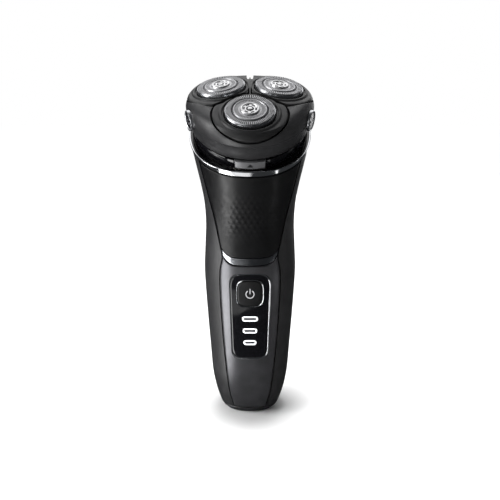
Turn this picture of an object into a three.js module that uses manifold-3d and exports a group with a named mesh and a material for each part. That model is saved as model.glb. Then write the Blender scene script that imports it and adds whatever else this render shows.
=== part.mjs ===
// A cordless rotary shaver with three shaving heads: handle, drive train, flip-open shaving unit and pop-up trimmer.
// Millimetres. +Z is up, the front faces -Y, and the origin is the middle of the flat base that it stands on.
// The shaving unit is built in a frame of its own, tilted towards the front: its z is the unit's axis, its y
// points to the back of the unit, and its origin lies where the handle's axis meets the neck plane.
import * as THREE from "three";
import { mergeVertices } from "three/addons/utils/BufferGeometryUtils.js";
import Module from "manifold-3d";

const wasm = await Module();
wasm.setup();

// ---------------------------------------------------------------- driving dimensions
const NECK_HEIGHT = 133.4; // where the handle's axis meets the neck plane
const HEAD_TILT = 29; // degrees, of the neck plane and of the whole shaving unit
const WALL = 2.2; // of the handle's housings
const GAP = 0.3; // between fixed neighbours
const SEAM_Y = 2; // the plane where the front and rear housings meet
const ROUND = 30; // segments round the handle and the shaving unit

// The handle's outer size by height: [z, half width, depth in front of the axis, depth behind it].
const HANDLE = [
  [0, 11.2, 8.8, 9.4],
  [2, 13.4, 10.5, 11.2],
  [6, 15.2, 12.1, 13.0],
  [12, 17.0, 13.9, 15.0],
  [20, 18.5, 15.3, 16.9],
  [32, 19.4, 16.7, 18.9],
  [46, 20.4, 18.0, 20.5],
  [60, 21.3, 19.0, 21.4],
  [72, 21.8, 19.6, 21.6],
  [84, 21.3, 19.8, 21.2],
  [94, 20.9, 20.4, 20.8],
  [104, 21.5, 22.3, 20.6],
  [112, 22.9, 24.7, 20.8],
  [119, 24.5, 27.2, 21.2],
  [127, 26.3, 30.6, 21.9],
  [136, 28.1, 34.6, 22.7],
  [152, 30.6, 41.0, 24.0],
];
const SQUARENESS = 2.25; // exponent of the handle's super-elliptic sections

// Half width of the front panels by height, seen from the front.
const PANEL_EDGE = [
  [2.6, 7.5],
  [14, 10.0],
  [34, 12.1],
  [54, 13.4],
  [68, 13.9],
  [75, 13.6],
  [80, 12.6],
  [86, 13.7],
  [98, 16.2],
  [110, 19.3],
  [124, 22.6],
  [136, 25.6],
];
const STRIP = { low: 76.5, high: 80.1, lowEnd: 80.9, highEnd: 83.3, reach: 12.4 };
const LENS = { top: 72.4, bottom: 31.6, halfTop: 9.1, halfBottom: 8.0, topRadius: 5, bottomRadius: 3.4 };
const BUTTON = { z: 63.5, halfWidth: 5.75, halfHeight: 6.0 };
const BARS = { z: 51.2, pitch: 5.95, width: 8.0, narrower: 0.7, height: 3.0 };

// Shaving unit, in its own frame.
const UNIT_Y = -0.8; // its three-fold axis lies this far in front of the handle's
const HEAD_CIRCLE = 15.2; // radius of the circle through the three heads' centres
const HEAD_LEAN = 8; // degrees that each head leans outwards
const HEAD_TOP = 22.5; // height of the heads' centres over the neck plane
const OUTLINE = { mean: 28.6, lobe: 1.2 }; // radius of the rounded-triangle outline and its three-fold swing
// The unit's outer form as [height, growth, scale] of the outline; the pods carry it on over the shell's top.
const FORM = [
  [5.6, -0.2, 0.955],
  [12.6, 0, 1],
  [15.6, 0, 1],
  [18, -0.3, 0.985],
  [19.8, -1.2, 0.955],
  [20.6, -2.6, 0.9],
];
const POD_FORM = [...FORM.slice(1, 5), [21.8, -3, 0.88], [24, -6, 0.8]];
const SHELL = { wall: 1.8, floor: 9, floorTop: 10.4, back: 18.4 };
const POD = { low: 11.4, bore: 11.3, gap: 0.55, clearance: 0.5 };
// A pod's side by [radius, height] in its head's leaning frame, from its foot to its rim.
const POD_SIDE = [
  [12.5, -12],
  [14.1, -7.5],
  [15.0, -5.7],
  [16.15, -2.6],
  [15.4, -1.9],
  [13.2, -1.7],
  [11.9, -2.1],
];
const GUARD = { radius: 10.9, skirt: 5.2, wall: 0.7, top: 0.5 };
const HINGE = { y: 25.6, z: 3.0, pin: 0.8, knuckle: 1.6, halfLug: 5, halfPin: 8.6 };
const RELEASE = { low: 1.6, high: 5.2, halfLow: 6.4, halfHigh: 6.7, thick: 1.7 };
const COLLAR = { low: 0.5, step: 4.2, rim: 7.2, webTop: 1.8 };
const RING = { top: 1.1, middle: -0.25, taper: 1.6 }; // the ring narrows towards the back by this many degrees

// Drive train: one centre gear turns three satellite gears.
const MODULE = 0.95;
const CENTRE_TEETH = 14;
const SATELLITE_TEETH = 18;
const GEAR = { low: -4.4, high: -1.8 };
const MOTOR = { y: 5.4, low: 87, high: 112.5, radius: 9 };

const BLACK_SATIN = { color: 0x2c2c2e, roughness: 0.45, metalness: 0.0 };
const BLACK_GLOSS = { color: 0x0c0c0e, roughness: 0.08, metalness: 0.0 };
const GREY_SATIN = { color: 0x4a4a4d, roughness: 0.38, metalness: 0.1 };
const SOFT_GRIP = { color: 0x303032, roughness: 0.75, metalness: 0.0 };
const CHROME = { color: 0xc8cacc, roughness: 0.1, metalness: 1.0 };
const STEEL = { color: 0xb4b5b8, roughness: 0.28, metalness: 1.0 };
const WHITE_LIGHT = { color: 0xf4f6f8, roughness: 0.3, metalness: 0.0 };
const GEAR_WHITE = { color: 0xd8d6cc, roughness: 0.5, metalness: 0.0 };
const COPPER_BOARD = { color: 0x1f5a35, roughness: 0.5, metalness: 0.0 };
const CELL_WRAP = { color: 0x2e6fa8, roughness: 0.4, metalness: 0.0 };
const BRASS = { color: 0xb89a50, roughness: 0.3, metalness: 1.0 };

// ---------------------------------------------------------------- solids
/** A closed three.js geometry as a manifold solid, moved by a matrix if one is given. */
function solid(geometry, matrix) {
  const bare = geometry.clone();
  bare.deleteAttribute("normal");
  bare.deleteAttribute("uv");
  if (matrix) bare.applyMatrix4(matrix);
  const merged = mergeVertices(bare, 1e-4);
  return new wasm.Manifold(
    new wasm.Mesh({
      numProp: 3,
      vertProperties: new Float32Array(merged.attributes.position.array),
      triVerts: new Uint32Array(merged.index.array),
    }),
  );
}

/** A manifold solid as a three.js geometry. */
function geometryOf(body) {
  const mesh = body.getMesh();
  const positions = new Float32Array(mesh.numVert * 3);
  for (let i = 0; i < mesh.numVert; i++) {
    positions.set(mesh.vertProperties.subarray(i * mesh.numProp, i * mesh.numProp + 3), i * 3);
  }
  return new THREE.BufferGeometry()
    .setAttribute("position", new THREE.BufferAttribute(positions, 3))
    .setIndex(new THREE.BufferAttribute(mesh.triVerts, 1));
}

/** The one largest body of a solid, without the crumbs that a cut leaves. */
function largest(body) {
  return body.decompose().sort((a, b) => b.volume() - a.volume())[0];
}

/** A closed body through rings of equally many points, each ring anticlockwise seen from the last one. */
function loft(rings) {
  const count = rings[0].length;
  const positions = rings.flat();
  const index = [];
  for (let r = 0; r + 1 < rings.length; r++) {
    for (let i = 0; i < count; i++) {
      const a = r * count + i;
      const b = r * count + ((i + 1) % count);
      index.push(a, b, b + count, a, b + count, a + count);
    }
  }
  const addCap = (ring, start, up) => {
    const centre = ring.reduce((sum, p) => sum.add(p), new THREE.Vector3()).divideScalar(count);
    const c = positions.push(centre) - 1;
    for (let i = 0; i < count; i++) {
      const next = (i + 1) % count;
      index.push(c, start + (up ? i : next), start + (up ? next : i));
    }
  };
  addCap(rings[0], 0, false);
  addCap(rings[rings.length - 1], (rings.length - 1) * count, true);
  return new THREE.BufferGeometry().setFromPoints(positions).setIndex(index);
}

const box = (x0, x1, y0, y1, z0, z1, matrix) =>
  solid(
    new THREE.BoxGeometry(x1 - x0, y1 - y0, z1 - z0).translate((x0 + x1) / 2, (y0 + y1) / 2, (z0 + z1) / 2),
    matrix,
  );

/** A cylinder or cone along z. */
const rod = (radiusLow, radiusHigh, z0, z1, x = 0, y = 0, segments = 24) =>
  solid(
    new THREE.CylinderGeometry(radiusHigh, radiusLow, z1 - z0, segments)
      .rotateX(Math.PI / 2)
      .translate(x, y, (z0 + z1) / 2),
  );

/** A cylinder along x. */
const crossRod = (radius, x0, x1, y, z, segments = 16) =>
  solid(
    new THREE.CylinderGeometry(radius, radius, x1 - x0, segments)
      .rotateZ(Math.PI / 2)
      .translate((x0 + x1) / 2, y, z),
  );

/** A body of revolution round z, from its [radius, z] profile that starts and ends on the axis. */
const turned = (profile, segments = 22) =>
  solid(
    new THREE.LatheGeometry(
      profile.map(([r, z]) => new THREE.Vector2(r, z)),
      segments,
    ).rotateX(Math.PI / 2),
  );

/** A flat outline in x and y, raised from z0 to z1. */
const plate = (points, z0, z1) =>
  solid(
    new THREE.ExtrudeGeometry(new THREE.Shape(points), { depth: z1 - z0, bevelEnabled: false }).translate(0, 0, z0),
  );

/** A front-view outline in x and z, pushed through the handle from y = near to y = far. */
const frontPrism = (points, near = 0, far = -60) =>
  solid(
    new THREE.ExtrudeGeometry(new THREE.Shape(points), { depth: near - far, bevelEnabled: false })
      .rotateX(Math.PI / 2)
      .translate(0, near, 0),
  );

const point = (x, y) => new THREE.Vector2(x, y);
const radians = THREE.MathUtils.degToRad;

/** Smooth interpolation in a table of [key, value, value...] rows. */
function smooth(table, key) {
  const last = table.length - 2;
  const i = Math.min(last, Math.max(0, table.findIndex((row) => row[0] > key) - 1));
  const k = key >= table[last + 1][0] ? last : i;
  const [a, b] = [table[k], table[k + 1]];
  const before = table[k - 1] ?? a;
  const after = table[k + 2] ?? b;
  const span = b[0] - a[0];
  const t = (key - a[0]) / span;
  return a.slice(1).map((value, j) => {
    const slopeA = ((b[j + 1] - before[j + 1]) / (b[0] - before[0])) * span;
    const slopeB = ((after[j + 1] - value) / (after[0] - a[0])) * span;
    const t2 = t * t;
    const t3 = t2 * t;
    return (
      value * (2 * t3 - 3 * t2 + 1) + slopeA * (t3 - 2 * t2 + t) + b[j + 1] * (3 * t2 - 2 * t3) + slopeB * (t3 - t2)
    );
  });
}

/** A closed outline of n points on a super-ellipse. */
function superEllipse(halfWidth, halfHeight, power, n, x = 0, y = 0) {
  return Array.from({ length: n }, (_, i) => {
    const t = (i / n) * 2 * Math.PI;
    const c = Math.cos(t);
    const s = Math.sin(t);
    return point(
      x + halfWidth * Math.sign(c) * Math.abs(c) ** (2 / power),
      y + halfHeight * Math.sign(s) * Math.abs(s) ** (2 / power),
    );
  });
}

// ---------------------------------------------------------------- the handle's skin
/** One section of the handle, moved in from its outer skin by inset. */
function handleRing(z, inset) {
  const [halfWidth, front, back] = smooth(HANDLE, z);
  return Array.from({ length: ROUND }, (_, i) => {
    const t = (i / ROUND) * 2 * Math.PI;
    const c = Math.cos(t);
    const s = Math.sin(t);
    const depth = (s < 0 ? front : back) - inset;
    return new THREE.Vector3(
      (halfWidth - inset) * Math.sign(c) * Math.abs(c) ** (2 / SQUARENESS),
      depth * Math.sign(s) * Math.abs(s) ** (2 / SQUARENESS),
      z,
    );
  });
}

const HANDLE_ROWS = [0, 2, 5, 10, 19, 32, 50, 66, 80, 94, 104, 113, 121, 130, 151];

/** The handle as a solid block, its skin moved in by inset, between two heights. */
function handleBlock(inset, low = 0, high = 151) {
  const rows = [low, ...HANDLE_ROWS.filter((z) => z > low + 1 && z < high - 1), high];
  return solid(loft(rows.map((z) => handleRing(z, inset))));
}

const headMatrix = new THREE.Matrix4()
  .makeTranslation(0, 0, NECK_HEIGHT)
  .multiply(new THREE.Matrix4().makeRotationX(radians(HEAD_TILT)));

/** Everything under the neck plane raised by n, and everything over it. */
const belowNeck = (n) => box(-80, 80, -120, 120, -200, n, headMatrix);
const aboveNeck = (n) => box(-80, 80, -120, 120, n, 200, headMatrix);

/** Everything under or over the plane of the neck ring's lower edge, moved down by extra. */
const ringFootMatrix = headMatrix.clone().multiply(new THREE.Matrix4().makeRotationX(radians(RING.taper)));
const belowRing = (extra) => box(-80, 80, -120, 120, -200, RING.middle - extra, ringFootMatrix);
const aboveRing = (extra) => box(-80, 80, -120, 120, RING.middle - extra, 200, ringFootMatrix);

/** A skin of the handle between two insets, with one shared row layout so that the layers stay parallel. */
const skin = (outerInset, innerInset) => handleBlock(outerInset).subtract(handleBlock(innerInset, 0.6, 150));

const edgeAt = (z) => smooth(PANEL_EDGE, z)[0];
const stripCurve = (x, middle, end) => middle + (end - middle) * (Math.abs(x) / STRIP.reach) ** 5;

/** The front panels' outline between a lower and an upper edge, shrunk by gap: z values may depend on x. */
function panelOutline(lowAt, highAt, gap) {
  const across = 10;
  const along = 12;
  const right = [];
  const z0 = lowAt(STRIP.reach) + gap;
  const z1 = highAt(STRIP.reach) - gap;
  for (let i = 0; i <= along; i++) {
    const z = z0 + ((z1 - z0) * i) / along;
    right.push(point(edgeAt(z) - gap, z));
  }
  const row = (curve, shift, half) =>
    Array.from({ length: across - 1 }, (_, i) => {
      const x = half * (1 - (2 * (i + 1)) / across);
      return point(x, curve((x / half) * STRIP.reach) + shift);
    });
  const left = right.map((p) => point(-p.x, p.y)).reverse();
  const top = row(highAt, -gap, right[along].x);
  const bottom = row(lowAt, gap, right[0].x).reverse();
  return [...right, ...top, ...left, ...bottom];
}

const plateLow = () => BASE_HIGH + 0.1;
const stripLow = (x) => stripCurve(x, STRIP.low, STRIP.lowEnd);
const stripHigh = (x) => stripCurve(x, STRIP.high, STRIP.highEnd);
const panelTop = () => 134;

/** The display lens's outline: a trapezoid with round corners, grown by extra. */
function lensOutline(extra) {
  const shape = new THREE.Shape();
  const { top, bottom, halfTop, halfBottom, topRadius, bottomRadius } = LENS;
  const corners = [
    [halfBottom + extra, bottom - extra, bottomRadius],
    [halfTop + extra, top + extra, topRadius],
    [-halfTop - extra, top + extra, topRadius],
    [-halfBottom - extra, bottom - extra, bottomRadius],
  ];
  corners.forEach(([x, z, r], i) => {
    const before = corners[(i + 3) % 4];
    const after = corners[(i + 1) % 4];
    const corner = point(x, z);
    const start = corner.clone().add(point(before[0] - x, before[1] - z).setLength(r));
    const end = corner.clone().add(point(after[0] - x, after[1] - z).setLength(r));
    if (i === 0) shape.moveTo(start.x, start.y);
    else shape.lineTo(start.x, start.y);
    shape.quadraticCurveTo(x, z, end.x, end.y);
  });
  shape.closePath();
  return shape.getPoints(5);
}

/** A light bar's outline: a bar with round ends, grown by extra. */
function barOutline(k, extra) {
  const r = BARS.height / 2 + extra;
  const half = (BARS.width - BARS.narrower * k) / 2 + extra - r;
  const z = BARS.z - BARS.pitch * k;
  const end = (side) =>
    Array.from({ length: 6 }, (_, i) => {
      const t = radians(-90 + i * 36) * side;
      return point(side * (half + r * Math.cos(t)), z + r * Math.sin(t) * 1);
    });
  return [...end(1), ...end(-1)];
}

const buttonOutline = (extra) =>
  superEllipse(BUTTON.halfWidth + extra, BUTTON.halfHeight + extra, 3.6, 28, 0, BUTTON.z);

// ---------------------------------------------------------------- parts
const shaver = new THREE.Group();
const unit = new THREE.Group(); // everything that stands square to the neck plane
unit.position.set(0, 0, NECK_HEIGHT);
unit.rotation.x = radians(HEAD_TILT);
shaver.add(unit);

/** Adds a solid to a group as one named mesh. */
function add(name, body, finish, group = shaver) {
  const mesh = new THREE.Mesh(geometryOf(largest(body)), new THREE.MeshStandardMaterial(finish));
  mesh.name = name;
  group.add(mesh);
  return mesh;
}

// Front and rear housings: two half shells with a seam down the sides.
const TRIM_HALF = 11;
const TRIM = { low: 102.9, high: 128.5, depth: 5.2, hinge: 105.6 };
const SLIDER = { low: 90, high: 99, halfWidth: 4.6, travel: 4 };
const BASE_HIGH = 3.2;
const armHinge = [18.4, TRIM.hinge]; // y and z of the trimmer's hinge

const hollow = handleBlock(WALL, BASE_HIGH - 0.5, 150.5);
const neckCut = belowRing(GAP);
const shellBlock = handleBlock(0, BASE_HIGH, 151).intersect(neckCut);

function frontHousing() {
  const pocketTop = frontPrism(panelOutline(plateLow, panelTop, -GAP));
  const pocket = pocketTop.subtract(handleBlock(1.1)).intersect(handleBlock(-2));
  const windows = [0, 1, 2].reduce(
    (sum, k) => {
      const z = BARS.z - BARS.pitch * k;
      return sum.add(box(-2.6, 2.6, -40, -8, z - 1.0, z + 1.0));
    },
    box(-2.7, 2.7, -40, -8, BUTTON.z - 2.7, BUTTON.z + 2.7),
  );
  return shellBlock
    .subtract(hollow)
    .intersect(box(-60, 60, -60, SEAM_Y - GAP / 2, 0, 200))
    .subtract(pocket)
    .subtract(windows);
}

/** The recess in the back that the folded trimmer lies in, grown by extra. */
const trimmerBay = (extra) =>
  box(-TRIM_HALF - extra, TRIM_HALF + extra, 21 - TRIM.depth - extra, 40, TRIM.low - extra, TRIM.high + extra);

function rearHousing() {
  const shell = shellBlock.subtract(hollow).intersect(box(-60, 60, SEAM_Y + GAP / 2, 60, 0, 200));
  const bayWalls = trimmerBay(1.6).intersect(handleBlock(0.4)).intersect(neckCut);
  const gripPocket = frontPrism(gripOutline(GAP), 60, 2).subtract(handleBlock(1.0)).intersect(handleBlock(-2));
  const sliderSlot = box(-1.6, 1.6, 10, 40, SLIDER.low - 3.2, SLIDER.high - 1);
  return shell
    .add(bayWalls)
    .subtract(trimmerBay(0))
    .subtract(crossRod(0.95, -TRIM_HALF - 1.2, TRIM_HALF + 1.2, armHinge[0], armHinge[1], 12))
    .subtract(gripPocket)
    .subtract(sliderSlot)
    .subtract(sliderRecess(0.5));
}

/** The shallow recess that the trimmer's slide moves in. */
const sliderRecess = (extra) =>
  frontPrism(
    superEllipse(
      SLIDER.halfWidth + extra,
      (SLIDER.high - SLIDER.low + SLIDER.travel) / 2 + extra,
      5,
      20,
      0,
      (SLIDER.high + SLIDER.low - SLIDER.travel) / 2,
    ),
    60,
    10,
  ).subtract(handleBlock(0.9));

/** The soft back grip's outline, seen from behind: a long shield that narrows to the base. */
function gripOutline(extra) {
  const shape = new THREE.Shape();
  const [top, waist, foot] = [83, 60, 12];
  shape.moveTo(0, foot - extra);
  shape.bezierCurveTo(9 + extra, foot - extra, 12.5 + extra, foot + 12, 14 + extra, waist - 14);
  shape.bezierCurveTo(15.5 + extra, waist, 14.5 + extra, top + extra, 0, top + extra);
  shape.bezierCurveTo(-14.5 - extra, top + extra, -15.5 - extra, waist, -14 - extra, waist - 14);
  shape.bezierCurveTo(-12.5 - extra, foot + 12, -9 - extra, foot - extra, 0, foot - extra);
  return shape.getPoints(5);
}

add("front_housing", frontHousing(), BLACK_SATIN);
add("rear_housing", rearHousing(), BLACK_SATIN);
add("rear_grip", skin(-0.3, 0.7).intersect(frontPrism(gripOutline(0), 60, 2)), SOFT_GRIP);

// Front panels: textured neck panel, gloss strip, and the satin plate that carries the display.
add(
  "neck_panel",
  skin(-0.1, 0.8).intersect(frontPrism(panelOutline(stripHigh, panelTop, 0.15))).intersect(neckCut),
  BLACK_SATIN,
);
add("accent_strip", skin(0.1, 0.8).intersect(frontPrism(panelOutline(stripLow, stripHigh, 0.15))), CHROME);
add(
  "front_plate",
  skin(-0.4, 0.8).intersect(frontPrism(panelOutline(plateLow, stripLow, 0.15))).subtract(frontPrism(lensOutline(0.75))),
  GREY_SATIN,
);
add(
  "display_rim",
  skin(-0.5, 0.75).intersect(frontPrism(lensOutline(0.6)).subtract(frontPrism(lensOutline(0.15)))),
  CHROME,
);
const barHoles = [0, 1, 2].reduce(
  (sum, k) => sum.add(frontPrism(barOutline(k, 0.15))),
  frontPrism(buttonOutline(0.75)),
);
add("display_lens", skin(-0.35, 0.7).intersect(frontPrism(lensOutline(0))).subtract(barHoles), BLACK_GLOSS);
for (let k = 0; k < 3; k++) {
  add(`indicator_bar_${k + 1}`, skin(-0.4, 0.7).intersect(frontPrism(barOutline(k, 0))), WHITE_LIGHT);
}
add(
  "button_bezel",
  skin(-0.45, 0.7).intersect(frontPrism(buttonOutline(0.6)).subtract(frontPrism(buttonOutline(0.2)))),
  CHROME,
);
const buttonStem = frontPrism(superEllipse(2.2, 2.2, 2, 16, 0, BUTTON.z), -14.4, -18.4);
add(
  "power_button",
  skin(-0.35, 0.5).intersect(frontPrism(buttonOutline(0))).add(buttonStem),
  BLACK_SATIN,
);

// Base cap with the charging inlet, and the inlet's two pins.
const INLET = { y: 4.4, halfWidth: 5.4, halfDepth: 2.6, roof: 7.4 };
const inletOutline = (extra) =>
  superEllipse(INLET.halfWidth + extra, INLET.halfDepth + extra, 4, 20, 0, INLET.y);
const inletTube = plate(inletOutline(1.3), 0, INLET.roof + 1.4).intersect(handleBlock(0));
add(
  "base_cap",
  handleBlock(0, 0, BASE_HIGH - GAP).add(inletTube).subtract(plate(inletOutline(0), -1, INLET.roof)),
  BLACK_SATIN,
);
for (const [name, x] of [
  ["inlet_pin_left", -3.7],
  ["inlet_pin_right", 3.7],
]) {
  add(name, rod(0.6, 0.6, 2.4, INLET.roof - 0.1, x, INLET.y, 12), BRASS);
}

// Inside the handle: chassis, battery, circuit board with its switch, motor.
const BATTERY = { y: 3.4, low: 17, high: 66, radius: 7.1 };
const BOARD = { y: -11.4, half: 8.6, low: 33, high: 73, thick: 1.4 };
const cradle = box(-8.2, 8.2, -7.6, 5.5, 13.5, 84.8)
  .subtract(rod(BATTERY.radius + 0.4, BATTERY.radius + 0.4, BATTERY.low - 0.5, BATTERY.high + 0.5, 0, BATTERY.y))
  .subtract(box(-7.0, 7.0, -5.4, 20, 70, 81))
  .intersect(handleBlock(WALL + 0.4));
add("chassis", cradle, BLACK_SATIN);
add("battery_cell", rod(BATTERY.radius, BATTERY.radius, BATTERY.low, BATTERY.high, 0, BATTERY.y, 20), CELL_WRAP);
const chips = [0, 1, 2].reduce(
  (sum, k) => {
    const z = BARS.z - BARS.pitch * k;
    return sum.add(box(-1.6, 1.6, BOARD.y - BOARD.thick - 0.6, BOARD.y - 0.5, z - 0.9, z + 0.9));
  },
  box(-5.5, 4.5, BOARD.y - 0.5, BOARD.y + 1.4, 47, 57),
);
add(
  "circuit_board",
  box(-BOARD.half, BOARD.half, BOARD.y - BOARD.thick, BOARD.y, BOARD.low, BOARD.high).add(chips),
  COPPER_BOARD,
);
add(
  "tact_switch",
  box(-2.4, 2.4, BOARD.y - BOARD.thick - 1.1, BOARD.y - BOARD.thick - 0.05, BUTTON.z - 2.4, BUTTON.z + 2.4),
  STEEL,
);
add(
  "drive_motor",
  rod(MOTOR.radius, MOTOR.radius, MOTOR.low, MOTOR.high, 0, MOTOR.y, 24)
    .intersect(box(-20, 20, MOTOR.y - 7.6, MOTOR.y + 7.6, 0, 200))
    .add(rod(3.2, 3.2, MOTOR.high - 0.5, MOTOR.high + 1.2, 0, MOTOR.y, 16))
    .subtract(rod(1.3, 1.3, MOTOR.high - 4, MOTOR.high + 3, 0, MOTOR.y, 12)),
  STEEL,
);

// The drive's bend: the motor's shaft stands upright, the centre gear's shaft is square to the neck plane.
const toWorld = (x, y, z) => new THREE.Vector3(x, y, z).applyMatrix4(headMatrix);
const BEND_Z = -12.6; // on the unit's axis, where the two shafts meet
const bend = toWorld(0, UNIT_Y, BEND_Z);
add(
  "motor_shaft",
  rod(1.0, 1.0, MOTOR.high - 3.6, bend.z - 1.6, 0, MOTOR.y, 12).add(
    rod(2.4, 2.4, bend.z - 4.4, bend.z - 1.6, 0, MOTOR.y, 12),
  ),
  STEEL,
);

// ---------------------------------------------------------------- neck: ring, deck, gears
/** The shaving unit's outline: a rounded triangle with a corner at the front. */
function unitRing(z, grow, scale = 1, count = ROUND) {
  return Array.from({ length: count }, (_, i) => {
    const t = (i / count) * 2 * Math.PI; // anticlockwise from +x
    const fromFront = t + Math.PI / 2;
    const r = (OUTLINE.mean + OUTLINE.lobe * Math.cos(3 * fromFront)) * scale + grow;
    return new THREE.Vector3(r * Math.cos(t), UNIT_Y + r * Math.sin(t), z);
  });
}

const unitBlock = (rows) => solid(loft(rows.map(([z, grow, scale]) => unitRing(z, grow, scale))));

add("neck_ring", skin(-0.35, 1.4).intersect(belowNeck(RING.top)).intersect(aboveRing(0)), CHROME);

const spindleHoles = (radius, low, high) =>
  [0, 1, 2].reduce(
    (sum, k) => {
      const [x, y] = headCentre(k);
      return sum.add(rod(radius, radius, low, high, x, y, 16));
    },
    rod(0.5, 0.5, low, high, 0, 60, 6),
  );

/** The centre of head k on the unit's plan: 0 is the front head, 1 the right one and 2 the left one. */
function headCentre(k) {
  const t = radians(-90 + 120 * k);
  return [HEAD_CIRCLE * Math.cos(t), UNIT_Y + HEAD_CIRCLE * Math.sin(t)];
}

/** The hair chamber: a collar that shows over the neck ring, with a bowl inside the shaving unit. */
function hairChamber() {
  const collar = unitBlock([
    [COLLAR.low, -1.9, 0.97],
    [COLLAR.step, -2.3, 0.97],
  ]);
  const rim = unitBlock([
    [COLLAR.step - 0.2, -4.4, 0.97],
    [COLLAR.rim, -5.0, 0.97],
  ]);
  const bowl = unitBlock([
    [COLLAR.webTop, -6.0, 0.97],
    [COLLAR.rim + 0.5, -6.6, 0.97],
  ]);
  const ears = bothSides(HINGE.halfLug + 0.5, HINGE.halfPin + 0.6, (x0, x1) =>
    crossRod(HINGE.knuckle, x0, x1, HINGE.y, HINGE.z).add(
      box(x0, x1, HINGE.y - 6, HINGE.y, HINGE.z - HINGE.knuckle, HINGE.z + 0.2),
    ),
  );
  const lugRoom = box(-HINGE.halfLug - 0.5, HINGE.halfLug + 0.5, HINGE.y - 2.2, 40, 0.6, 20);
  const releaseRoom = box(-7.1, 7.1, -40, -25.6, RELEASE.low - 0.4, 20);
  const latchSlot = box(-3, 3, -30, -18, 2.0, 4.9);
  return collar
    .add(rim)
    .add(ears)
    .subtract(bowl)
    .subtract(lugRoom)
    .subtract(releaseRoom)
    .subtract(latchSlot)
    .subtract(spindleHoles(2.6, -3, 5))
    .subtract(crossRod(HINGE.pin + 0.2, -HINGE.halfPin - 0.2, HINGE.halfPin + 0.2, HINGE.y, HINGE.z));
}

/** One body made from x0..x1 on the right and its mirror range on the left. */
function bothSides(x0, x1, make) {
  return make(x0, x1).add(make(-x1, -x0));
}
add("hair_chamber", hairChamber(), BLACK_GLOSS, unit);
add("hinge_pin", crossRod(HINGE.pin, -HINGE.halfPin, HINGE.halfPin, HINGE.y, HINGE.z), STEEL, unit);

// Bulkhead under the gears, with posts that the satellite gears turn on.
const bulkheadTop = GEAR.low - 0.5;
const posts = [0, 1, 2].reduce(
  (sum, k) => {
    const [x, y] = headCentre(k);
    return sum.add(rod(1.0, 1.0, bulkheadTop - 0.8, GEAR.high - 0.6, x, y, 12));
  },
  rod(4, 4, bulkheadTop - 1.5, bulkheadTop - 0.1, 0, UNIT_Y, 16),
);
add(
  "gear_bulkhead",
  handleBlock(WALL + 0.4)
    .intersect(belowNeck(bulkheadTop))
    .intersect(aboveNeck(bulkheadTop - 1.5))
    .add(posts.transform(headMatrix.elements))
    .subtract(rod(2.6, 2.6, bulkheadTop - 3, bulkheadTop + 3, 0, UNIT_Y, 16).transform(headMatrix.elements))
    .subtract(trimmerBay(2.0)),
  GREY_SATIN,
);

/** A spur gear's outline with trapezoid teeth, tooth 0 centred on the given angle. */
function gearOutline(teeth, phase) {
  const pitch = (MODULE * teeth) / 2;
  const [tip, root] = [pitch + 0.72 * MODULE, pitch - 0.95 * MODULE];
  const step = (2 * Math.PI) / teeth;
  const flanks = [
    [-0.27, root],
    [-0.125, tip],
    [0.125, tip],
    [0.27, root],
  ];
  return Array.from({ length: teeth }, (_, i) =>
    flanks.map(([share, r]) => {
      const t = phase + (i + share) * step;
      return point(r * Math.cos(t), r * Math.sin(t));
    }),
  ).flat();
}

const centreShaft = rod(1.3, 1.3, BEND_Z + 3.2, GEAR.high - 0.4, 0, 0, 12).add(
  rod(2.2, 2.2, BEND_Z + 2.4, BEND_Z + 5.0, 0, 0, 12),
);
const centreGear = plate(gearOutline(CENTRE_TEETH, radians(-90)), GEAR.low, GEAR.high).add(centreShaft);
add("centre_gear", centreGear, GEAR_WHITE, unit).position.set(0, UNIT_Y, 0);

// Each satellite gear turns on its post; its hollow hub carries a spindle that gives way downwards.
const SPINDLE = { hubRadius: 2.1, hubTop: 6.4, bore: 1.45, radius: 1.15, low: -0.9, top: 17.6 };
for (let k = 0; k < 3; k++) {
  const [x, y] = headCentre(k);
  const towardsCentre = Math.atan2(UNIT_Y - y, -x);
  const halfTooth = Math.PI / SATELLITE_TEETH;
  // At the mesh point a tooth of one gear faces a gap of the other.
  const centreShare = (towardsCentre + Math.PI - radians(-90)) / ((2 * Math.PI) / CENTRE_TEETH);
  const toothOffset = (centreShare - Math.round(centreShare)) * ((2 * Math.PI) / SATELLITE_TEETH);
  const outline = gearOutline(SATELLITE_TEETH, towardsCentre + halfTooth + toothOffset);
  const gear = plate(outline, GEAR.low, GEAR.high)
    .add(rod(SPINDLE.hubRadius, SPINDLE.hubRadius, GEAR.high - 0.2, SPINDLE.hubTop, 0, 0, 16))
    .subtract(rod(1.2, 1.2, GEAR.low - 1, GEAR.high - 0.3, 0, 0, 12))
    .subtract(rod(SPINDLE.bore, SPINDLE.bore, -1.6, SPINDLE.hubTop + 1, 0, 0, 12));
  const label = ["front", "right", "left"][k];
  add(`drive_gear_${label}`, gear, GEAR_WHITE, unit).position.set(x, y, 0);
  const spindle = rod(SPINDLE.radius, SPINDLE.radius, SPINDLE.low + 1.9, SPINDLE.top - 1.2, 0, 0, 12).add(
    plate(superEllipse(1.5, 0.8, 6, 12), SPINDLE.top - 1.3, SPINDLE.top),
  );
  add(`drive_spindle_${label}`, spindle, STEEL, unit).position.set(x, y, 0);
}

// ---------------------------------------------------------------- shaving unit: shell, pods, heads
/** The wedge between the two straight sides of a pod, its head's centre at the origin and +x outwards. */
function podWedge() {
  const apex = -HEAD_CIRCLE + POD.gap / Math.sin(radians(60));
  const reach = point(40, 40 * Math.tan(radians(60)));
  return plate([point(apex, 0), point(apex + reach.x, -reach.y), point(apex + reach.x, reach.y)], POD.low, 40);
}

/** The matrix of pod k's plan frame in the unit's frame. */
function podMatrix(k) {
  const [x, y] = headCentre(k);
  return new THREE.Matrix4().makeTranslation(x, y, 0).multiply(new THREE.Matrix4().makeRotationZ(radians(-90 + 120 * k)));
}

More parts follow.
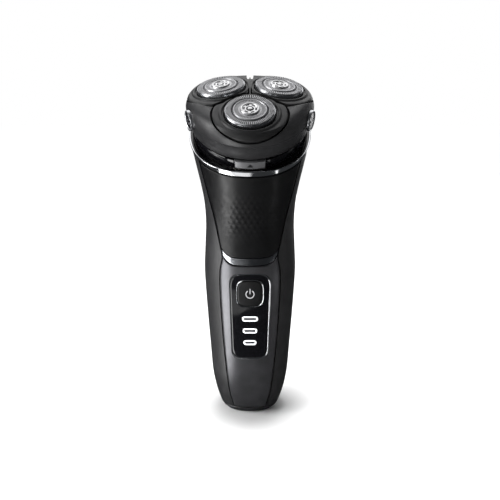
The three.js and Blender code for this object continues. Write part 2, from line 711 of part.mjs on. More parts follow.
/** The matrix of head k's own leaning frame: its origin is the head's centre and its z the head's axis. */
function leaningMatrix(k) {
  return podMatrix(k)
    .multiply(new THREE.Matrix4().makeTranslation(0, 0, HEAD_TOP))
    .multiply(new THREE.Matrix4().makeRotationY(radians(HEAD_LEAN)));
}

/** A pod's body of revolution, grown by extra and carried on upwards where it is used as a pocket. */
function podBody(extra, asPocket) {
  const side = POD_SIDE.map(([r, z]) => [r + extra, z]);
  const shoulder = side.slice(0, 4);
  return asPocket ? turned([[0, -12], ...shoulder, [shoulder[3][0] + 0.1, 12], [0, 12]]) : turned([[0, -12], ...side, [0, -2.1]]);
}

function headShell() {
  const outside = unitBlock(FORM);
  const inside = unitBlock([
    [FORM[0][0] - 1, -SHELL.wall - 0.2, 0.955],
    [SHELL.floor, -SHELL.wall, 0.975],
  ]);
  const aboveFloor = box(-40, 40, -40, 40, SHELL.floorTop, 40);
  const lowBack = box(-40, 40, 8, 40, SHELL.back, 40);
  const pockets = [0, 1, 2].reduce(
    (sum, k) => sum.add(podBody(POD.clearance, true).transform(leaningMatrix(k).elements)),
    rod(15.6, 15.6, SHELL.floorTop, 30, 0, UNIT_Y),
  );
  const lug = crossRod(HINGE.knuckle, -HINGE.halfLug, HINGE.halfLug, HINGE.y, HINGE.z).add(
    box(-HINGE.halfLug, HINGE.halfLug, HINGE.y - 1.6, HINGE.y + 0.8, HINGE.z, 8),
  );
  return outside
    .subtract(inside)
    .subtract(pockets.intersect(aboveFloor))
    .subtract(lowBack)
    .subtract(spindleHoles(9.2, 5, 15))
    .subtract(spindleExits(5, 15))
    .subtract(rod(2.4, 2.4, 8, 11, 0, UNIT_Y, 16))
    .subtract(earRoom())
    .add(lug)
    .subtract(crossRod(HINGE.pin + 0.25, -30, 30, HINGE.y, HINGE.z))
    .subtract(badgeSeats(0.3, 1.2));
}

/** Openings in front of the two rear spindles, which lean out of their holes as the unit swings open. */
function spindleExits(low, high) {
  const [x, y] = headCentre(1);
  return bothSides(x, x, (at) => rod(4.4, 4.4, low, high, at, y - 6.6, 16));
}

/** Room for the hinge's ears where the head's shell swings past them. */
function earRoom() {
  return bothSides(HINGE.halfLug, HINGE.halfPin + 1.3, (x0, x1) =>
    crossRod(HINGE.knuckle + 0.6, x0, x1, HINGE.y, HINGE.z),
  );
}

// The two round badges on the unit's sides face outwards and a little to the front.
const BADGE = { radius: 4.6, place: 16, facing: 22, proud: 0.3, z: 13.1 };
function badgeMatrix(side) {
  const t = radians(side * (90 - BADGE.place) - 90);
  const r = OUTLINE.mean + OUTLINE.lobe * Math.cos(3 * (t + Math.PI / 2)) + BADGE.proud;
  return new THREE.Matrix4()
    .makeTranslation(r * Math.cos(t), UNIT_Y + r * Math.sin(t), BADGE.z)
    .multiply(new THREE.Matrix4().makeRotationZ(radians(side * (90 - BADGE.facing) - 90)))
    .multiply(new THREE.Matrix4().makeRotationY(Math.PI / 2));
}
function badgeSeats(extra, depth) {
  const seat = rod(BADGE.radius + extra, BADGE.radius + extra, -depth, 4, 0, 0, 24);
  return seat.transform(badgeMatrix(-1).elements).add(seat.transform(badgeMatrix(1).elements));
}
add("head_shell", headShell(), BLACK_SATIN, unit);
for (const [name, side] of [
  ["left", -1],
  ["right", 1],
]) {
  const disc = turned([
    [0, -0.9],
    [BADGE.radius - 1.0, -0.9],
    [BADGE.radius - 1.0, 0.2],
    [0, 0.2],
  ], 20);
  const rim = turned([
    [BADGE.radius - 0.75, -0.9],
    [BADGE.radius, -0.9],
    [BADGE.radius, 0.25],
    [BADGE.radius - 0.3, 0.5],
    [BADGE.radius - 0.75, 0.25],
    [BADGE.radius - 0.75, -0.9],
  ], 24);
  add(`side_badge_${name}`, disc, BLACK_GLOSS, unit).applyMatrix4(badgeMatrix(side));
  add(`side_badge_rim_${name}`, rim, CHROME, unit).applyMatrix4(badgeMatrix(side));
}

// Retaining frame under the shell's floor, held by a thumb wheel in the middle.
add(
  "retaining_frame",
  unitBlock([
    [7.2, -5.4, 0.97],
    [8.6, -5.4, 0.97],
  ])
    .subtract(spindleHoles(8.4, 5, 15))
    .subtract(spindleExits(5, 15))
    .subtract(rod(2.4, 2.4, 5, 10, 0, UNIT_Y, 16)),
  GREY_SATIN,
  unit,
);
add(
  "retaining_wheel",
  rod(3.1, 3.1, 5.6, 6.9, 0, UNIT_Y, 16)
    .add(rod(2.0, 2.0, 6.8, 9.9, 0, UNIT_Y, 16))
    .add(box(-5.4, 5.4, UNIT_Y - 0.8, UNIT_Y + 0.8, 5.6, 6.9)),
  GREY_SATIN,
  unit,
);

// Pods, guards, caps and cutters, three of each.
for (let k = 0; k < 3; k++) {
  const label = ["front", "right", "left"][k];
  const bore = rod(POD.bore, POD.bore, -20, 20, 0, 0, 22);
  const pod = podBody(0, false)
    .subtract(bore)
    .transform(leaningMatrix(k).elements)
    .intersect(podWedge().transform(podMatrix(k).elements))
    .intersect(unitBlock([[POD.low, 0, 0.99], ...POD_FORM]));
  add(`pod_${label}`, pod, BLACK_SATIN, unit);

  const { radius, skirt, wall, top } = GUARD;
  const guard = turned([
    [4.2, -0.55],
    [radius - wall, -0.9],
    [radius - wall, -skirt],
    [radius, -skirt],
    [radius, -0.7],
    [radius - 0.7, 0],
    [8.3, top - 0.1],
    [7.4, top - 0.4],
    [6.4, top],
    [4.2, top],
    [4.2, -0.55],
  ], 24);
  add(`guard_${label}`, guard, STEEL, unit).applyMatrix4(leaningMatrix(k));
  const cap = turned([
    [0, -0.6],
    [3.9, -0.6],
    [3.9, top + 0.1],
    [3.3, top + 0.35],
    [0, top + 0.2],
  ], 20);
  add(`guard_cap_${label}`, cap, CHROME, unit).applyMatrix4(leaningMatrix(k));

  const cutter = turned([
    [0, -2.6],
    [2.9, -2.6],
    [2.9, -5.4],
    [3.9, -5.4],
    [3.9, -2.9],
    [8.3, -2.7],
    [8.3, -1.3],
    [6.2, -1.3],
    [6.2, -1.9],
    [0, -1.9],
  ], 20);
  add(`cutter_${label}`, cutter, STEEL, unit).applyMatrix4(leaningMatrix(k));
}

// Release button in the notch at the front of the unit.
const { low, high, halfLow, halfHigh, thick } = RELEASE;
const releaseFace = unitBlock([
  [low - 1, -0.5, 0.985],
  [high + 1, -0.5, 0.985],
]).subtract(
  unitBlock([
    [low - 2, -0.5 - thick, 0.985],
    [high + 2, -0.5 - thick, 0.985],
  ]),
);
const releaseOutline = [point(-halfLow, low), point(halfLow, low), point(halfHigh, high), point(-halfHigh, high)];
add(
  "release_button",
  releaseFace.intersect(frontPrism(releaseOutline, -15, -45)).add(box(-2.4, 2.4, -28.4, -24.4, 2.5, 4.4)),
  GREY_SATIN,
  unit,
);

// ---------------------------------------------------------------- pop-up trimmer on the back
const bayClear = trimmerBay(-0.4);
const armBlank = bayClear
  .intersect(handleBlock(0))
  .intersect(box(-40, 40, 16.6, 40, TRIM.low + 0.4, TRIM.high - 3.6));
add(
  "trimmer_arm",
  armBlank.subtract(crossRod(1.0, -20, 20, armHinge[0], armHinge[1])).intersect(armSweep()),
  BLACK_SATIN,
);

/** Keeps the arm's foot inside a circle round its hinge, so that it clears the bay's floor as it swings. */
function armSweep() {
  return box(-40, 40, 0, 60, TRIM.hinge, 200).add(crossRod(2.4, -40, 40, armHinge[0], armHinge[1], 24));
}
add("trimmer_pin", crossRod(0.7, -TRIM_HALF - 0.9, TRIM_HALF + 0.9, armHinge[0], armHinge[1], 12), STEEL);

/** A row of comb teeth pointing up, from one thin plate. */
function comb(y0, y1, halfWidth, low, root, tip, teeth) {
  const step = (2 * halfWidth) / teeth;
  const outline = [point(-halfWidth, low), point(halfWidth, low), point(halfWidth, root)];
  for (let i = teeth - 1; i >= 0; i--) {
    const x = -halfWidth + i * step;
    outline.push(point(x + 0.78 * step, tip), point(x + 0.22 * step, tip), point(x, root));
  }
  outline.pop();
  outline.push(point(-halfWidth, root));
  return frontPrism(outline, y1, y0);
}
add("trimmer_comb", comb(19.6, 20.3, 9.6, TRIM.high - 3.3, TRIM.high - 2.2, TRIM.high - 0.6, 16), STEEL);
add("trimmer_blade", comb(18.6, 19.3, 8.4, TRIM.high - 3.3, TRIM.high - 2.0, TRIM.high - 0.8, 14), STEEL);

const sliderOutline = superEllipse(
  SLIDER.halfWidth - 0.2,
  (SLIDER.high - SLIDER.low) / 2 - 0.2,
  4,
  20,
  0,
  (SLIDER.high + SLIDER.low) / 2,
);
const sliderKey = box(-1.2, 1.2, 17.2, 20.4, SLIDER.high - 4.4, SLIDER.high - 1.6);
add(
  "trimmer_slide",
  skin(-0.7, 0.4).intersect(frontPrism(sliderOutline, 60, 10)).add(sliderKey),
  GREY_SATIN,
);

// Screws that hold the housings together, from the inside of the base and the neck.
for (const [name, x, z] of [
  ["housing_screw_left", -10.2, 30],
  ["housing_screw_right", 10.2, 30],
]) {
  const screw = new THREE.CylinderGeometry(0.9, 0.9, 9, 10).translate(x, -0.5, z);
  const head = new THREE.CylinderGeometry(1.7, 1.7, 1.2, 10).translate(x, 4.4, z);
  add(name, solid(screw).add(solid(head)), STEEL);
}

export default shaver;
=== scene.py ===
"""The looks of a cordless rotary shaver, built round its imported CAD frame.

Numbers are in millimetres, as in the CAD, and turn into metres in make(). The front faces -Y and +Z is up.
Pieces of the shaving unit are built in the unit's own tilted frame and moved by UNIT.
"""

import math

import bmesh
import bpy
import numpy as np
from mathutils import Matrix, Vector


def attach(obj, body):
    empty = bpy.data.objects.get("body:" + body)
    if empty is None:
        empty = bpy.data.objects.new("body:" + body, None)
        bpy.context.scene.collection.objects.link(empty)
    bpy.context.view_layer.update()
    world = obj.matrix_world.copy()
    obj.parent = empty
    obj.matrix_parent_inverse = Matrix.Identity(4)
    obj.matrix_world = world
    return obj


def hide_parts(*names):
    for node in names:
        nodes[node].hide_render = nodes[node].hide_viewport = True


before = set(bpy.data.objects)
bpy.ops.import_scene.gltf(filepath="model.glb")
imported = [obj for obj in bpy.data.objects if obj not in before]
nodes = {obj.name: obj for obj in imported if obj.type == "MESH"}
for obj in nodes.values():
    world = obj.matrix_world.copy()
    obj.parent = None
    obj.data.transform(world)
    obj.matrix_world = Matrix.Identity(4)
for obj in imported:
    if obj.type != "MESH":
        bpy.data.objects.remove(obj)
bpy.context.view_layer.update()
scene = bpy.context.scene

# ---------------------------------------------------------------- dimensions, as in the CAD
MM = 0.001
NECK_HEIGHT = 133.4
HEAD_TILT = math.radians(29)
SQUARENESS = 2.25
GAP = 0.3
SEAM_Y = 2.0
WALL = 2.2
BASE_HIGH = 3.2
# Rows of the handle: height, half width, depth in front of and behind the middle plane.
HANDLE = np.array([
    (0, 11.2, 8.8, 9.4), (2, 13.4, 10.5, 11.2), (6, 15.2, 12.1, 13.0), (12, 17.0, 13.9, 15.0),
    (20, 18.5, 15.3, 16.9), (32, 19.4, 16.7, 18.9), (46, 20.4, 18.0, 20.5), (60, 21.3, 19.0, 21.4),
    (72, 21.8, 19.6, 21.6), (84, 21.3, 19.8, 21.2), (94, 20.9, 20.4, 20.8), (104, 21.5, 22.3, 20.6),
    (112, 22.9, 24.7, 20.8), (119, 24.5, 27.2, 21.2), (127, 26.3, 30.6, 21.9), (136, 28.1, 34.6, 22.7),
    (152, 30.6, 41.0, 24.0),
])
# Rows of the front panels' side edge: height, distance from the middle.
PANEL_EDGE = np.array([
    (2.6, 7.5), (14, 10.0), (34, 12.1), (54, 13.4), (68, 13.9), (75, 13.6),
    (80, 12.6), (86, 13.7), (98, 16.2), (110, 19.3), (124, 22.6), (136, 25.6),
])
STRIP = dict(low=76.5, high=80.1, low_end=80.9, high_end=83.3, reach=12.4)
LENS = dict(top=72.4, bottom=31.6, half_top=9.1, half_bottom=8.0, top_corner=6.0, bottom_corner=4.25)
BUTTON = dict(z=63.5, half_width=5.75, half_height=6.0, power=3.6)
BARS = dict(z=51.2, pitch=5.95, width=8.0, narrower=0.7, height=3.0)
UNIT_Y = -0.8
HEAD_CIRCLE = 15.2
HEAD_LEAN = math.radians(8)
HEAD_TOP = 22.5
OUTLINE = (28.6, 1.2)
SHELL_WALL = 1.8
SHELL_FLOOR = (9.0, 10.4)
SHELL_BACK = 18.4
NOTCH = 1.6
POD = dict(low=11.4, bore=11.3, gap=0.9, clearance=0.75)
HINGE = dict(y=25.6, z=3.0, pin=0.8, knuckle=1.6, half_lug=5.0, half_pin=8.6)
COLLAR = dict(low=0.5, step=4.2, rim=7.2, web_top=1.8)
RING = dict(top=1.1, middle=-0.25, taper=math.radians(1.6))
BADGE = dict(radius=4.6, place=16, facing=22, proud=0.3, z=13.1)
TRIM = dict(low=102.9, high=128.5, half=11.0, depth=5.2, hinge=(18.4, 105.6))
SLIDER = dict(low=90.0, high=99.0, half=4.6, travel=4.0)
GRIP = dict(low=12, waist=60, high=83)
INLET = dict(y=4.4, half_width=5.4, half_depth=2.6, roof=7.4)
HEADS = ("front", "right", "left")

UNIT = Matrix.Translation((0, 0, NECK_HEIGHT)) @ Matrix.Rotation(HEAD_TILT, 4, "X")
RING_FOOT = UNIT @ Matrix.Rotation(RING["taper"], 4, "X")


# ---------------------------------------------------------------- camera, light, floor
def add_camera():
    data = bpy.data.cameras.new("camera")
    data.lens, data.sensor_width = 43.2, 36
    data.clip_start, data.clip_end = 0.01, 20
    camera = bpy.data.objects.new("camera", data)
    camera.location = (0, -0.283, 0.140)
    camera.rotation_euler = (math.radians(90 - 12), 0, 0)
    scene.collection.objects.link(camera)
    scene.camera = camera


def area_light(name, place, target, size, brightness):
    """A soft box at place that faces target; brightness is its radiance."""
    data = bpy.data.lights.new(name, "AREA")
    data.shape = "RECTANGLE"
    data.size, data.size_y = size
    data.energy = brightness * math.pi * size[0] * size[1]
    light = bpy.data.objects.new(name, data)
    light.location = place
    light.rotation_euler = (Vector(target) - Vector(place)).to_track_quat("-Z", "Y").to_euler()
    light.visible_camera = False
    scene.collection.objects.link(light)


def add_world():
    """White behind the object, and nearly dark as a source of light."""
    scene.view_settings.view_transform = "Standard"
    world = bpy.data.worlds.new("studio")
    scene.world = world
    world.use_nodes = True
    tree = world.node_tree
    tree.nodes.clear()
    kinds = ("OutputWorld", "MixShader", "LightPath", "Background", "Background")
    out, mix, path, lit, seen = [tree.nodes.new("ShaderNode" + kind) for kind in kinds]
    for background, colour, strength in ((seen, (1, 1, 1, 1), 1.0), (lit, (0.9, 0.95, 1, 1), 0.035)):
        background.inputs["Color"].default_value = colour
        background.inputs["Strength"].default_value = strength
    tree.links.new(path.outputs["Is Camera Ray"], mix.inputs[0])
    tree.links.new(lit.outputs[0], mix.inputs[1])
    tree.links.new(seen.outputs[0], mix.inputs[2])
    tree.links.new(mix.outputs[0], out.inputs["Surface"])


def add_lights():
    sun = bpy.data.lights.new("soft_top", "SUN")
    sun.energy, sun.angle = 4.1, math.radians(14)
    lamp = bpy.data.objects.new("soft_top", sun)
    lamp.rotation_euler = (math.radians(1), 0, 0)
    lamp.visible_glossy = False
    scene.collection.objects.link(lamp)
    for light in (
        ("key_left", (-0.46, -0.20, 0.38), (0, 0, 0.11), (0.24, 0.44), 4.4),
        ("strip_left", (-0.26, -0.06, 0.13), (0, 0, 0.08), (0.08, 0.26), 6.0),
        ("top", (-0.05, 0.31, 0.66), (0, -0.02, 0.15), (0.70, 0.56), 1.3),
        ("strip_right", (0.30, -0.02, 0.16), (0, 0, 0.10), (0.04, 0.30), 0.35),
        ("fill_back", (0.35, 0.70, 0.30), (0, 0, 0.08), (0.70, 0.60), 1.2),
        ("card_neck", neck_card(-0.045), (-0.006, -0.032, 0.122), (0.10, 0.022), 1.0),
        ("card_neck_right", neck_card(0.128), (0.012, -0.032, 0.122), (0.026, 0.024), 1.8),
        ("card_plate", (-0.080, -0.068, 0.022), (-0.012, -0.016, 0.05), (0.050, 0.10), 8.0),
        ("card_front", (-0.20, -0.36, 0.045), (0, -0.02, 0.095), (0.34, 0.09), 0.9),
    ):
        area_light(*light)


def neck_card(x):
    """A place on the circle of reflecting cards in front of the neck, low over the floor."""
    return (x, -0.122 + abs(x) * 0.22, 0.012 + abs(x) * 0.06)


# ---------------------------------------------------------------- shapes
def smooth_rows(table, keys):
    """Smooth interpolation in a table of rows [key, value, value...], as the CAD does it."""
    keys = np.asarray(keys, float)
    k = np.clip(np.searchsorted(table[:, 0], keys, side="right") - 1, 0, len(table) - 2)
    a, b = table[k], table[k + 1]
    before, after = table[np.maximum(k - 1, 0)], table[np.minimum(k + 2, len(table) - 1)]
    span = (b[:, 0] - a[:, 0])[:, None]
    t = (keys - a[:, 0])[:, None] / span
    slope_a = (b[:, 1:] - before[:, 1:]) / (b[:, 0] - before[:, 0])[:, None] * span
    slope_b = (after[:, 1:] - a[:, 1:]) / (after[:, 0] - a[:, 0])[:, None] * span
    return (
        a[:, 1:] * (2 * t**3 - 3 * t**2 + 1)
        + slope_a * (t**3 - 2 * t**2 + t)
        + b[:, 1:] * (3 * t**2 - 2 * t**3)
        + slope_b * (t**3 - t**2)
    )


def skin_y(x, z, inset, column, sign):
    """The y of the handle's skin at x and z, moved in by inset."""
    x, z, inset = np.broadcast_arrays(np.asarray(x, float), np.asarray(z, float), np.asarray(inset, float))
    size = smooth_rows(HANDLE, z.ravel())
    half = size[:, 0].reshape(x.shape) - inset
    depth = size[:, column].reshape(x.shape) - inset
    share = np.clip(np.abs(x) / half, 0, 0.9999)
    return sign * depth * (1 - share**SQUARENESS) ** (1 / SQUARENESS)


def front_y(x, z, inset):
    return skin_y(x, z, inset, 1, -1)


def back_y(x, z, inset):
    return skin_y(x, z, inset, 2, 1)


def circle(count):
    """The cosines and sines of evenly spaced angles all round."""
    t = np.arange(count) / count * 2 * math.pi
    return np.cos(t), np.sin(t)


def squared(value, power):
    """A cosine or sine bent so that a circle becomes a rounder rectangle."""
    return np.sign(value) * np.abs(value) ** (2 / power)


def handle_ring(z, inset, count):
    half, front, back = smooth_rows(HANDLE, [z])[0] - inset
    c, s = circle(count)
    x = half * squared(c, SQUARENESS)
    y = np.where(s < 0, front, back) * squared(s, SQUARENESS)
    return np.stack([x, y, np.full(count, float(z))], 1)


def unit_ring(z, grow, scale, count):
    """The shaving unit's three-lobed outline at a height, scaled and then grown."""
    t = np.arange(count) / count * 2 * math.pi
    r = (OUTLINE[0] + OUTLINE[1] * np.cos(3 * (t + math.pi / 2))) * scale + grow
    return np.stack([r * np.cos(t), UNIT_Y + r * np.sin(t), np.full(count, float(z))], 1)


def loft(rings, capped=True):
    """Vertices and faces of a body through equally long rings: capped at both ends, or closed on itself."""
    rings = np.array(rings)
    rows, count, _ = rings.shape
    faces = []
    for r in range(rows - 1 if capped else rows):
        here, there = r * count, (r + 1) % rows * count
        for i in range(count):
            j = (i + 1) % count
            faces.append((here + i, here + j, there + j, there + i))
    if capped:
        faces.append(tuple(range(count))[::-1])
        faces.append(tuple(range((rows - 1) * count, rows * count)))
    return rings.reshape(-1, 3), faces


def torus(loops):
    return loft(loops, capped=False)


def lathe(profile, count=96):
    """A closed body of revolution round z: capped if its profile starts on the axis, and a ring if not."""
    c, s = circle(count)
    rings = [np.stack([r * c, r * s, np.full(count, float(z))], 1) for r, z in profile if r > 0]
    return loft(rings, capped=profile[0][0] == 0)


def prism(points, low, high, axis="Z"):
    """A flat outline raised from low to high along Z, or a front-view outline (x, z) pushed along Y."""
    points = np.asarray(points, float)
    if axis == "Z":
        rings = [np.column_stack([points, np.full(len(points), h)]) for h in (low, high)]
    else:
        rings = [np.column_stack([points[:, 0], np.full(len(points), h), points[:, 1]]) for h in (high, low)]
    return loft(rings)


def block(x0, x1, y0, y1, z0, z1):
    return prism([(x0, y0), (x1, y0), (x1, y1), (x0, y1)], z0, z1)


def cross_rod(radius, x0, x1, y, z, count=32):
    c, s = circle(count)
    ring = np.stack([np.zeros(count), y + radius * c, z + radius * s], 1)
    return loft([ring + (x0, 0, 0), ring + (x1, 0, 0)])


def rod(radius, z0, z1, x=0.0, y=0.0, count=48):
    verts, faces = lathe([(0, z0), (radius, z0), (radius, z1), (0, z1)], count)
    return verts + (x, y, 0), faces


def super_ellipse(half_w, half_h, power, count, y=0.0):
    c, s = circle(count)
    return np.stack([half_w * squared(c, power), y + half_h * squared(s, power)], 1)


def together(shapes):
    """Several (vertices, faces) as one."""
    verts, faces = [], []
    for points, polygons in shapes:
        start = len(verts)
        verts.extend(points)
        faces += [tuple(start + i for i in polygon) for polygon in polygons]
    return np.array(verts), faces


def rounding(near, edge):
    """How far a skin drops at a distance from its border, to round it with the radius edge."""
    near = np.clip(near, 0, edge)
    return edge - np.sqrt(np.maximum(edge**2 - (edge - near) ** 2, 0))


def rounded_polygon(corners, radii, steps=8):
    """An outline with a quadratic curve at each corner."""
    points = []
    n = len(corners)
    for i in range(n):
        corner = np.array(corners[i], float)
        to_before = np.array(corners[i - 1], float) - corner
        to_after = np.array(corners[(i + 1) % n], float) - corner
        start = corner + to_before / np.linalg.norm(to_before) * radii[i]
        end = corner + to_after / np.linalg.norm(to_after) * radii[i]
        for t in np.linspace(0, 1, steps):
            points.append((1 - t) ** 2 * start + 2 * t * (1 - t) * corner + t**2 * end)
    return np.array(points)


def resample(outline, count):
    """The same closed outline with evenly spaced points."""
    closed = np.vstack([outline, outline[:1]])
    length = np.concatenate([[0], np.cumsum(np.linalg.norm(np.diff(closed, axis=0), axis=1))])
    at = np.arange(count) / count * length[-1]
    return np.stack([np.interp(at, length, closed[:, 0]), np.interp(at, length, closed[:, 1])], 1)


def offset(outline, distance):
    """A closed outline moved outwards by distance, point by point."""
    ahead, behind = np.roll(outline, -1, 0), np.roll(outline, 1, 0)
    along = ahead - behind
    along /= np.maximum(np.linalg.norm(along, axis=1), 1e-9)[:, None]
    normal = np.stack([along[:, 1], -along[:, 0]], 1)
    area = np.sum(outline[:, 0] * ahead[:, 1] - ahead[:, 0] * outline[:, 1])
    return outline + normal * distance * (1 if area > 0 else -1)


# ---------------------------------------------------------------- objects
def in_metres(matrix):
    scaled = matrix.copy()
    scaled.translation = matrix.translation * MM
    return scaled


def make(name, shape, look=None, matrix=None, angle=32):
    """A Blender object from (vertices, faces) in millimetres, smooth but for edges sharper than angle."""
    verts, faces = shape
    mesh = bpy.data.meshes.new(name)
    mesh.from_pydata([tuple(v) for v in verts * MM], [], faces)
    obj = bpy.data.objects.new(name, mesh)
    scene.collection.objects.link(obj)
    if matrix is not None:
        mesh.transform(in_metres(matrix))
    fix_normals(mesh)
    finish_surface(obj, angle)
    if look:
        mesh.materials.append(look)
    return obj


def fix_normals(mesh):
    work = bmesh.new()
    work.from_mesh(mesh)
    bmesh.ops.recalc_face_normals(work, faces=work.faces)
    if work.calc_volume(signed=True) < 0:
        bmesh.ops.reverse_faces(work, faces=work.faces)
    work.to_mesh(mesh)
    work.free()


def finish_surface(obj, angle=32):
    obj.data.shade_smooth()
    obj.data.set_sharp_from_angle(angle=math.radians(angle))


def settle(obj):
    """Applies every modifier of obj."""
    graph = bpy.context.evaluated_depsgraph_get()
    graph.update()
    mesh = bpy.data.meshes.new_from_object(obj.evaluated_get(graph), depsgraph=graph)
    obj.modifiers.clear()
    old = obj.data
    obj.data = mesh
    mesh.name = old.name
    bpy.data.meshes.remove(old)


def combine(obj, shape, how="DIFFERENCE", matrix=None):
    """Cuts, joins or intersects obj with a shape, or with an object that it uses up."""
    tool = shape if isinstance(shape, bpy.types.Object) else make("tool", shape, None, matrix)
    modifier = obj.modifiers.new(how.lower(), "BOOLEAN")
    modifier.operation = how
    modifier.solver = "MANIFOLD"
    modifier.object = tool
    settle(obj)
    bpy.data.objects.remove(tool)
    return obj


def paint(obj, look):
    """Gives all of obj one material, and drops the slots that cutting left."""
    obj.data.materials.clear()
    obj.data.polygons.foreach_set("material_index", [0] * len(obj.data.polygons))
    obj.data.materials.append(look)


def round_edges(obj, width, angle):
    modifier = obj.modifiers.new("round", "BEVEL")
    modifier.width = width * MM
    modifier.segments = 2
    modifier.limit_method = "ANGLE"
    modifier.angle_limit = math.radians(angle)
    modifier.use_clamp_overlap = True
    settle(obj)


def tidy(obj, distance=0.02):
    """Merges the slivers that a cut leaves."""
    work = bmesh.new()
    work.from_mesh(obj.data)
    bmesh.ops.remove_doubles(work, verts=work.verts, dist=distance * MM)
    bmesh.ops.dissolve_degenerate(work, dist=distance * MM, edges=work.edges)
    work.to_mesh(obj.data)
    work.free()


def place(obj, body, slot, *replaced):
    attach(obj, body)
    if replaced:
        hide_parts(*replaced)


def add_piece(name, shape, look, body, slot, *replaced, matrix=None, angle=32):
    """A piece that is ready as its shape is."""
    place(make(name, shape, look, matrix, angle), body, slot, *replaced)


def add_cut_piece(obj, angle, look, body, slot, *replaced):
    """The last steps for a piece that was cut out of others."""
    finish_surface(obj, angle)
    paint(obj, look)
    place(obj, body, slot, *replaced)


# ---------------------------------------------------------------- materials
NOISE_SPAN = (0.35, 0.65)  # the range that most of a noise texture's values lie in


def material(name, colour, roughness, metallic=0.0, **sockets):
    mat = bpy.data.materials.new(name)
    mat.use_nodes = True
    shader = mat.node_tree.nodes["Principled BSDF"]
    shader.inputs["Base Color"].default_value = (*colour, 1)
    shader.inputs["Roughness"].default_value = roughness
    shader.inputs["Metallic"].default_value = metallic
    for socket, value in sockets.items():
        shader.inputs[socket.replace("_", " ")].default_value = value
    return mat


def new_node(mat, kind, **values):
    node = mat.node_tree.nodes.new(kind)
    for key, value in values.items():
        if key in node.inputs:
            node.inputs[key].default_value = value
        else:
            setattr(node, key, value)
    return node


def link(mat, start, end):
    mat.node_tree.links.new(start, end)


def add_noise(mat, scale, detail):
    """Noise in the piece's own coordinates."""
    where = new_node(mat, "ShaderNodeTexCoord")
    noise = new_node(mat, "ShaderNodeTexNoise", Scale=scale, Detail=detail)
    link(mat, where.outputs["Object"], noise.inputs["Vector"])
    return noise.outputs["Fac"]


def add_bump(mat, height, strength, distance):
    bump = new_node(mat, "ShaderNodeBump", Strength=strength, Distance=distance)
    link(mat, height, bump.inputs["Height"])
    link(mat, bump.outputs["Normal"], mat.node_tree.nodes["Principled BSDF"].inputs["Normal"])


def add_grain(mat, scale, strength, distance=0.00003):
    """A fine moulded grain as bump."""
    add_bump(mat, add_noise(mat, scale, 2.0), strength, distance)


def vary(mat, socket, low, high, scale):
    """Lets a socket wander between two values over the surface."""
    span = new_node(mat, "ShaderNodeMapRange")
    for name, value in zip(("From Min", "From Max", "To Min", "To Max"), (*NOISE_SPAN, low, high)):
        span.inputs[name].default_value = value
    link(mat, add_noise(mat, scale, 3.0), span.inputs["Value"])
    link(mat, span.outputs["Result"], mat.node_tree.nodes["Principled BSDF"].inputs[socket])


def vary_colour(mat, first, second, scale):
    ramp = new_node(mat, "ShaderNodeValToRGB")
    for element, position, colour in zip(ramp.color_ramp.elements, NOISE_SPAN, (first, second)):
        element.position = position
        element.color = (*colour, 1)
    link(mat, add_noise(mat, scale, 3.0), ramp.inputs["Fac"])
    link(mat, ramp.outputs["Color"], mat.node_tree.nodes["Principled BSDF"].inputs["Base Color"])


def plastic(name, colour, roughness, grain=0.25, scale=2600, spread=0.06, **sockets):
    mat = material(name, colour, roughness, **sockets)
    vary_colour(mat, tuple(c * 0.82 for c in colour), colour, 160)
    vary(mat, "Roughness", roughness - spread, roughness + spread, 240)
    add_grain(mat, scale, grain)
    return mat


def metal(name, colour, roughness, grain=0.1, scale=3500, spread=0.04):
    mat = material(name, colour, roughness, 1.0)
    vary_colour(mat, tuple(c * 0.9 for c in colour), colour, 260)
    vary(mat, "Roughness", max(0.02, roughness - spread), roughness + spread, 420)
    add_grain(mat, scale, grain, 0.00001)
    return mat


def brushed_round(name, colour, roughness, rings=9000.0):
    """Turned steel: fine circular lines round the piece's own z axis."""
    mat = material(name, colour, roughness, 1.0)
    where = new_node(mat, "ShaderNodeTexCoord")
    flat = new_node(mat, "ShaderNodeVectorMath", operation="MULTIPLY")
    flat.inputs[1].default_value = (1, 1, 0)
    length = new_node(mat, "ShaderNodeVectorMath", operation="LENGTH")
    noise = new_node(mat, "ShaderNodeTexNoise", noise_dimensions="1D", Scale=rings, Detail=2.0)
    link(mat, where.outputs["Object"], flat.inputs[0])
    link(mat, flat.outputs[0], length.inputs[0])
    link(mat, length.outputs["Value"], noise.inputs["W"])
    add_bump(mat, noise.outputs["Fac"], 0.12, 0.00001)
    vary(mat, "Roughness", roughness - 0.04, roughness + 0.06, 300)
    return mat


SHELL_BLACK = plastic("shell_black", (0.017, 0.017, 0.018), 0.42, 0.2)
HOUSING_BLACK = plastic("housing_black", (0.019, 0.019, 0.020), 0.46, 0.25, 2200)
POD_BLACK = plastic("pod_black", (0.012, 0.012, 0.0125), 0.40, 0.15)
PANEL_BLACK = plastic("panel_black", (0.005, 0.005, 0.0055), 0.36, 0.12, Specular_IOR_Level=0.28)
PLATE_GREY = plastic("plate_grey", (0.090, 0.090, 0.096), 0.33, 0.0, 4200, 0.02, Metallic=0.7)
GLOSS_BLACK = plastic("gloss_black", (0.004, 0.004, 0.005), 0.07, 0.02, 900, 0.03)
KEY_BLACK = plastic("key_black", (0.006, 0.006, 0.0065), 0.34, 0.1)
RUBBER = plastic("rubber", (0.012, 0.012, 0.0125), 0.72, 0.5, 3600)
RELEASE_GREY = plastic("release_grey", (0.13, 0.13, 0.135), 0.36, 0.05, 4200, 0.03, Metallic=0.4)
MARK_DARK = plastic("mark_dark", (0.004, 0.004, 0.004), 0.5, 0.1)
MARK_LIGHT = plastic("mark_light", (0.62, 0.63, 0.65), 0.45, 0.05)
CHROME = metal("chrome", (0.82, 0.83, 0.85), 0.10, 0.0)
RIM_CHROME = metal("rim_chrome", (0.74, 0.75, 0.77), 0.22, 0.02)
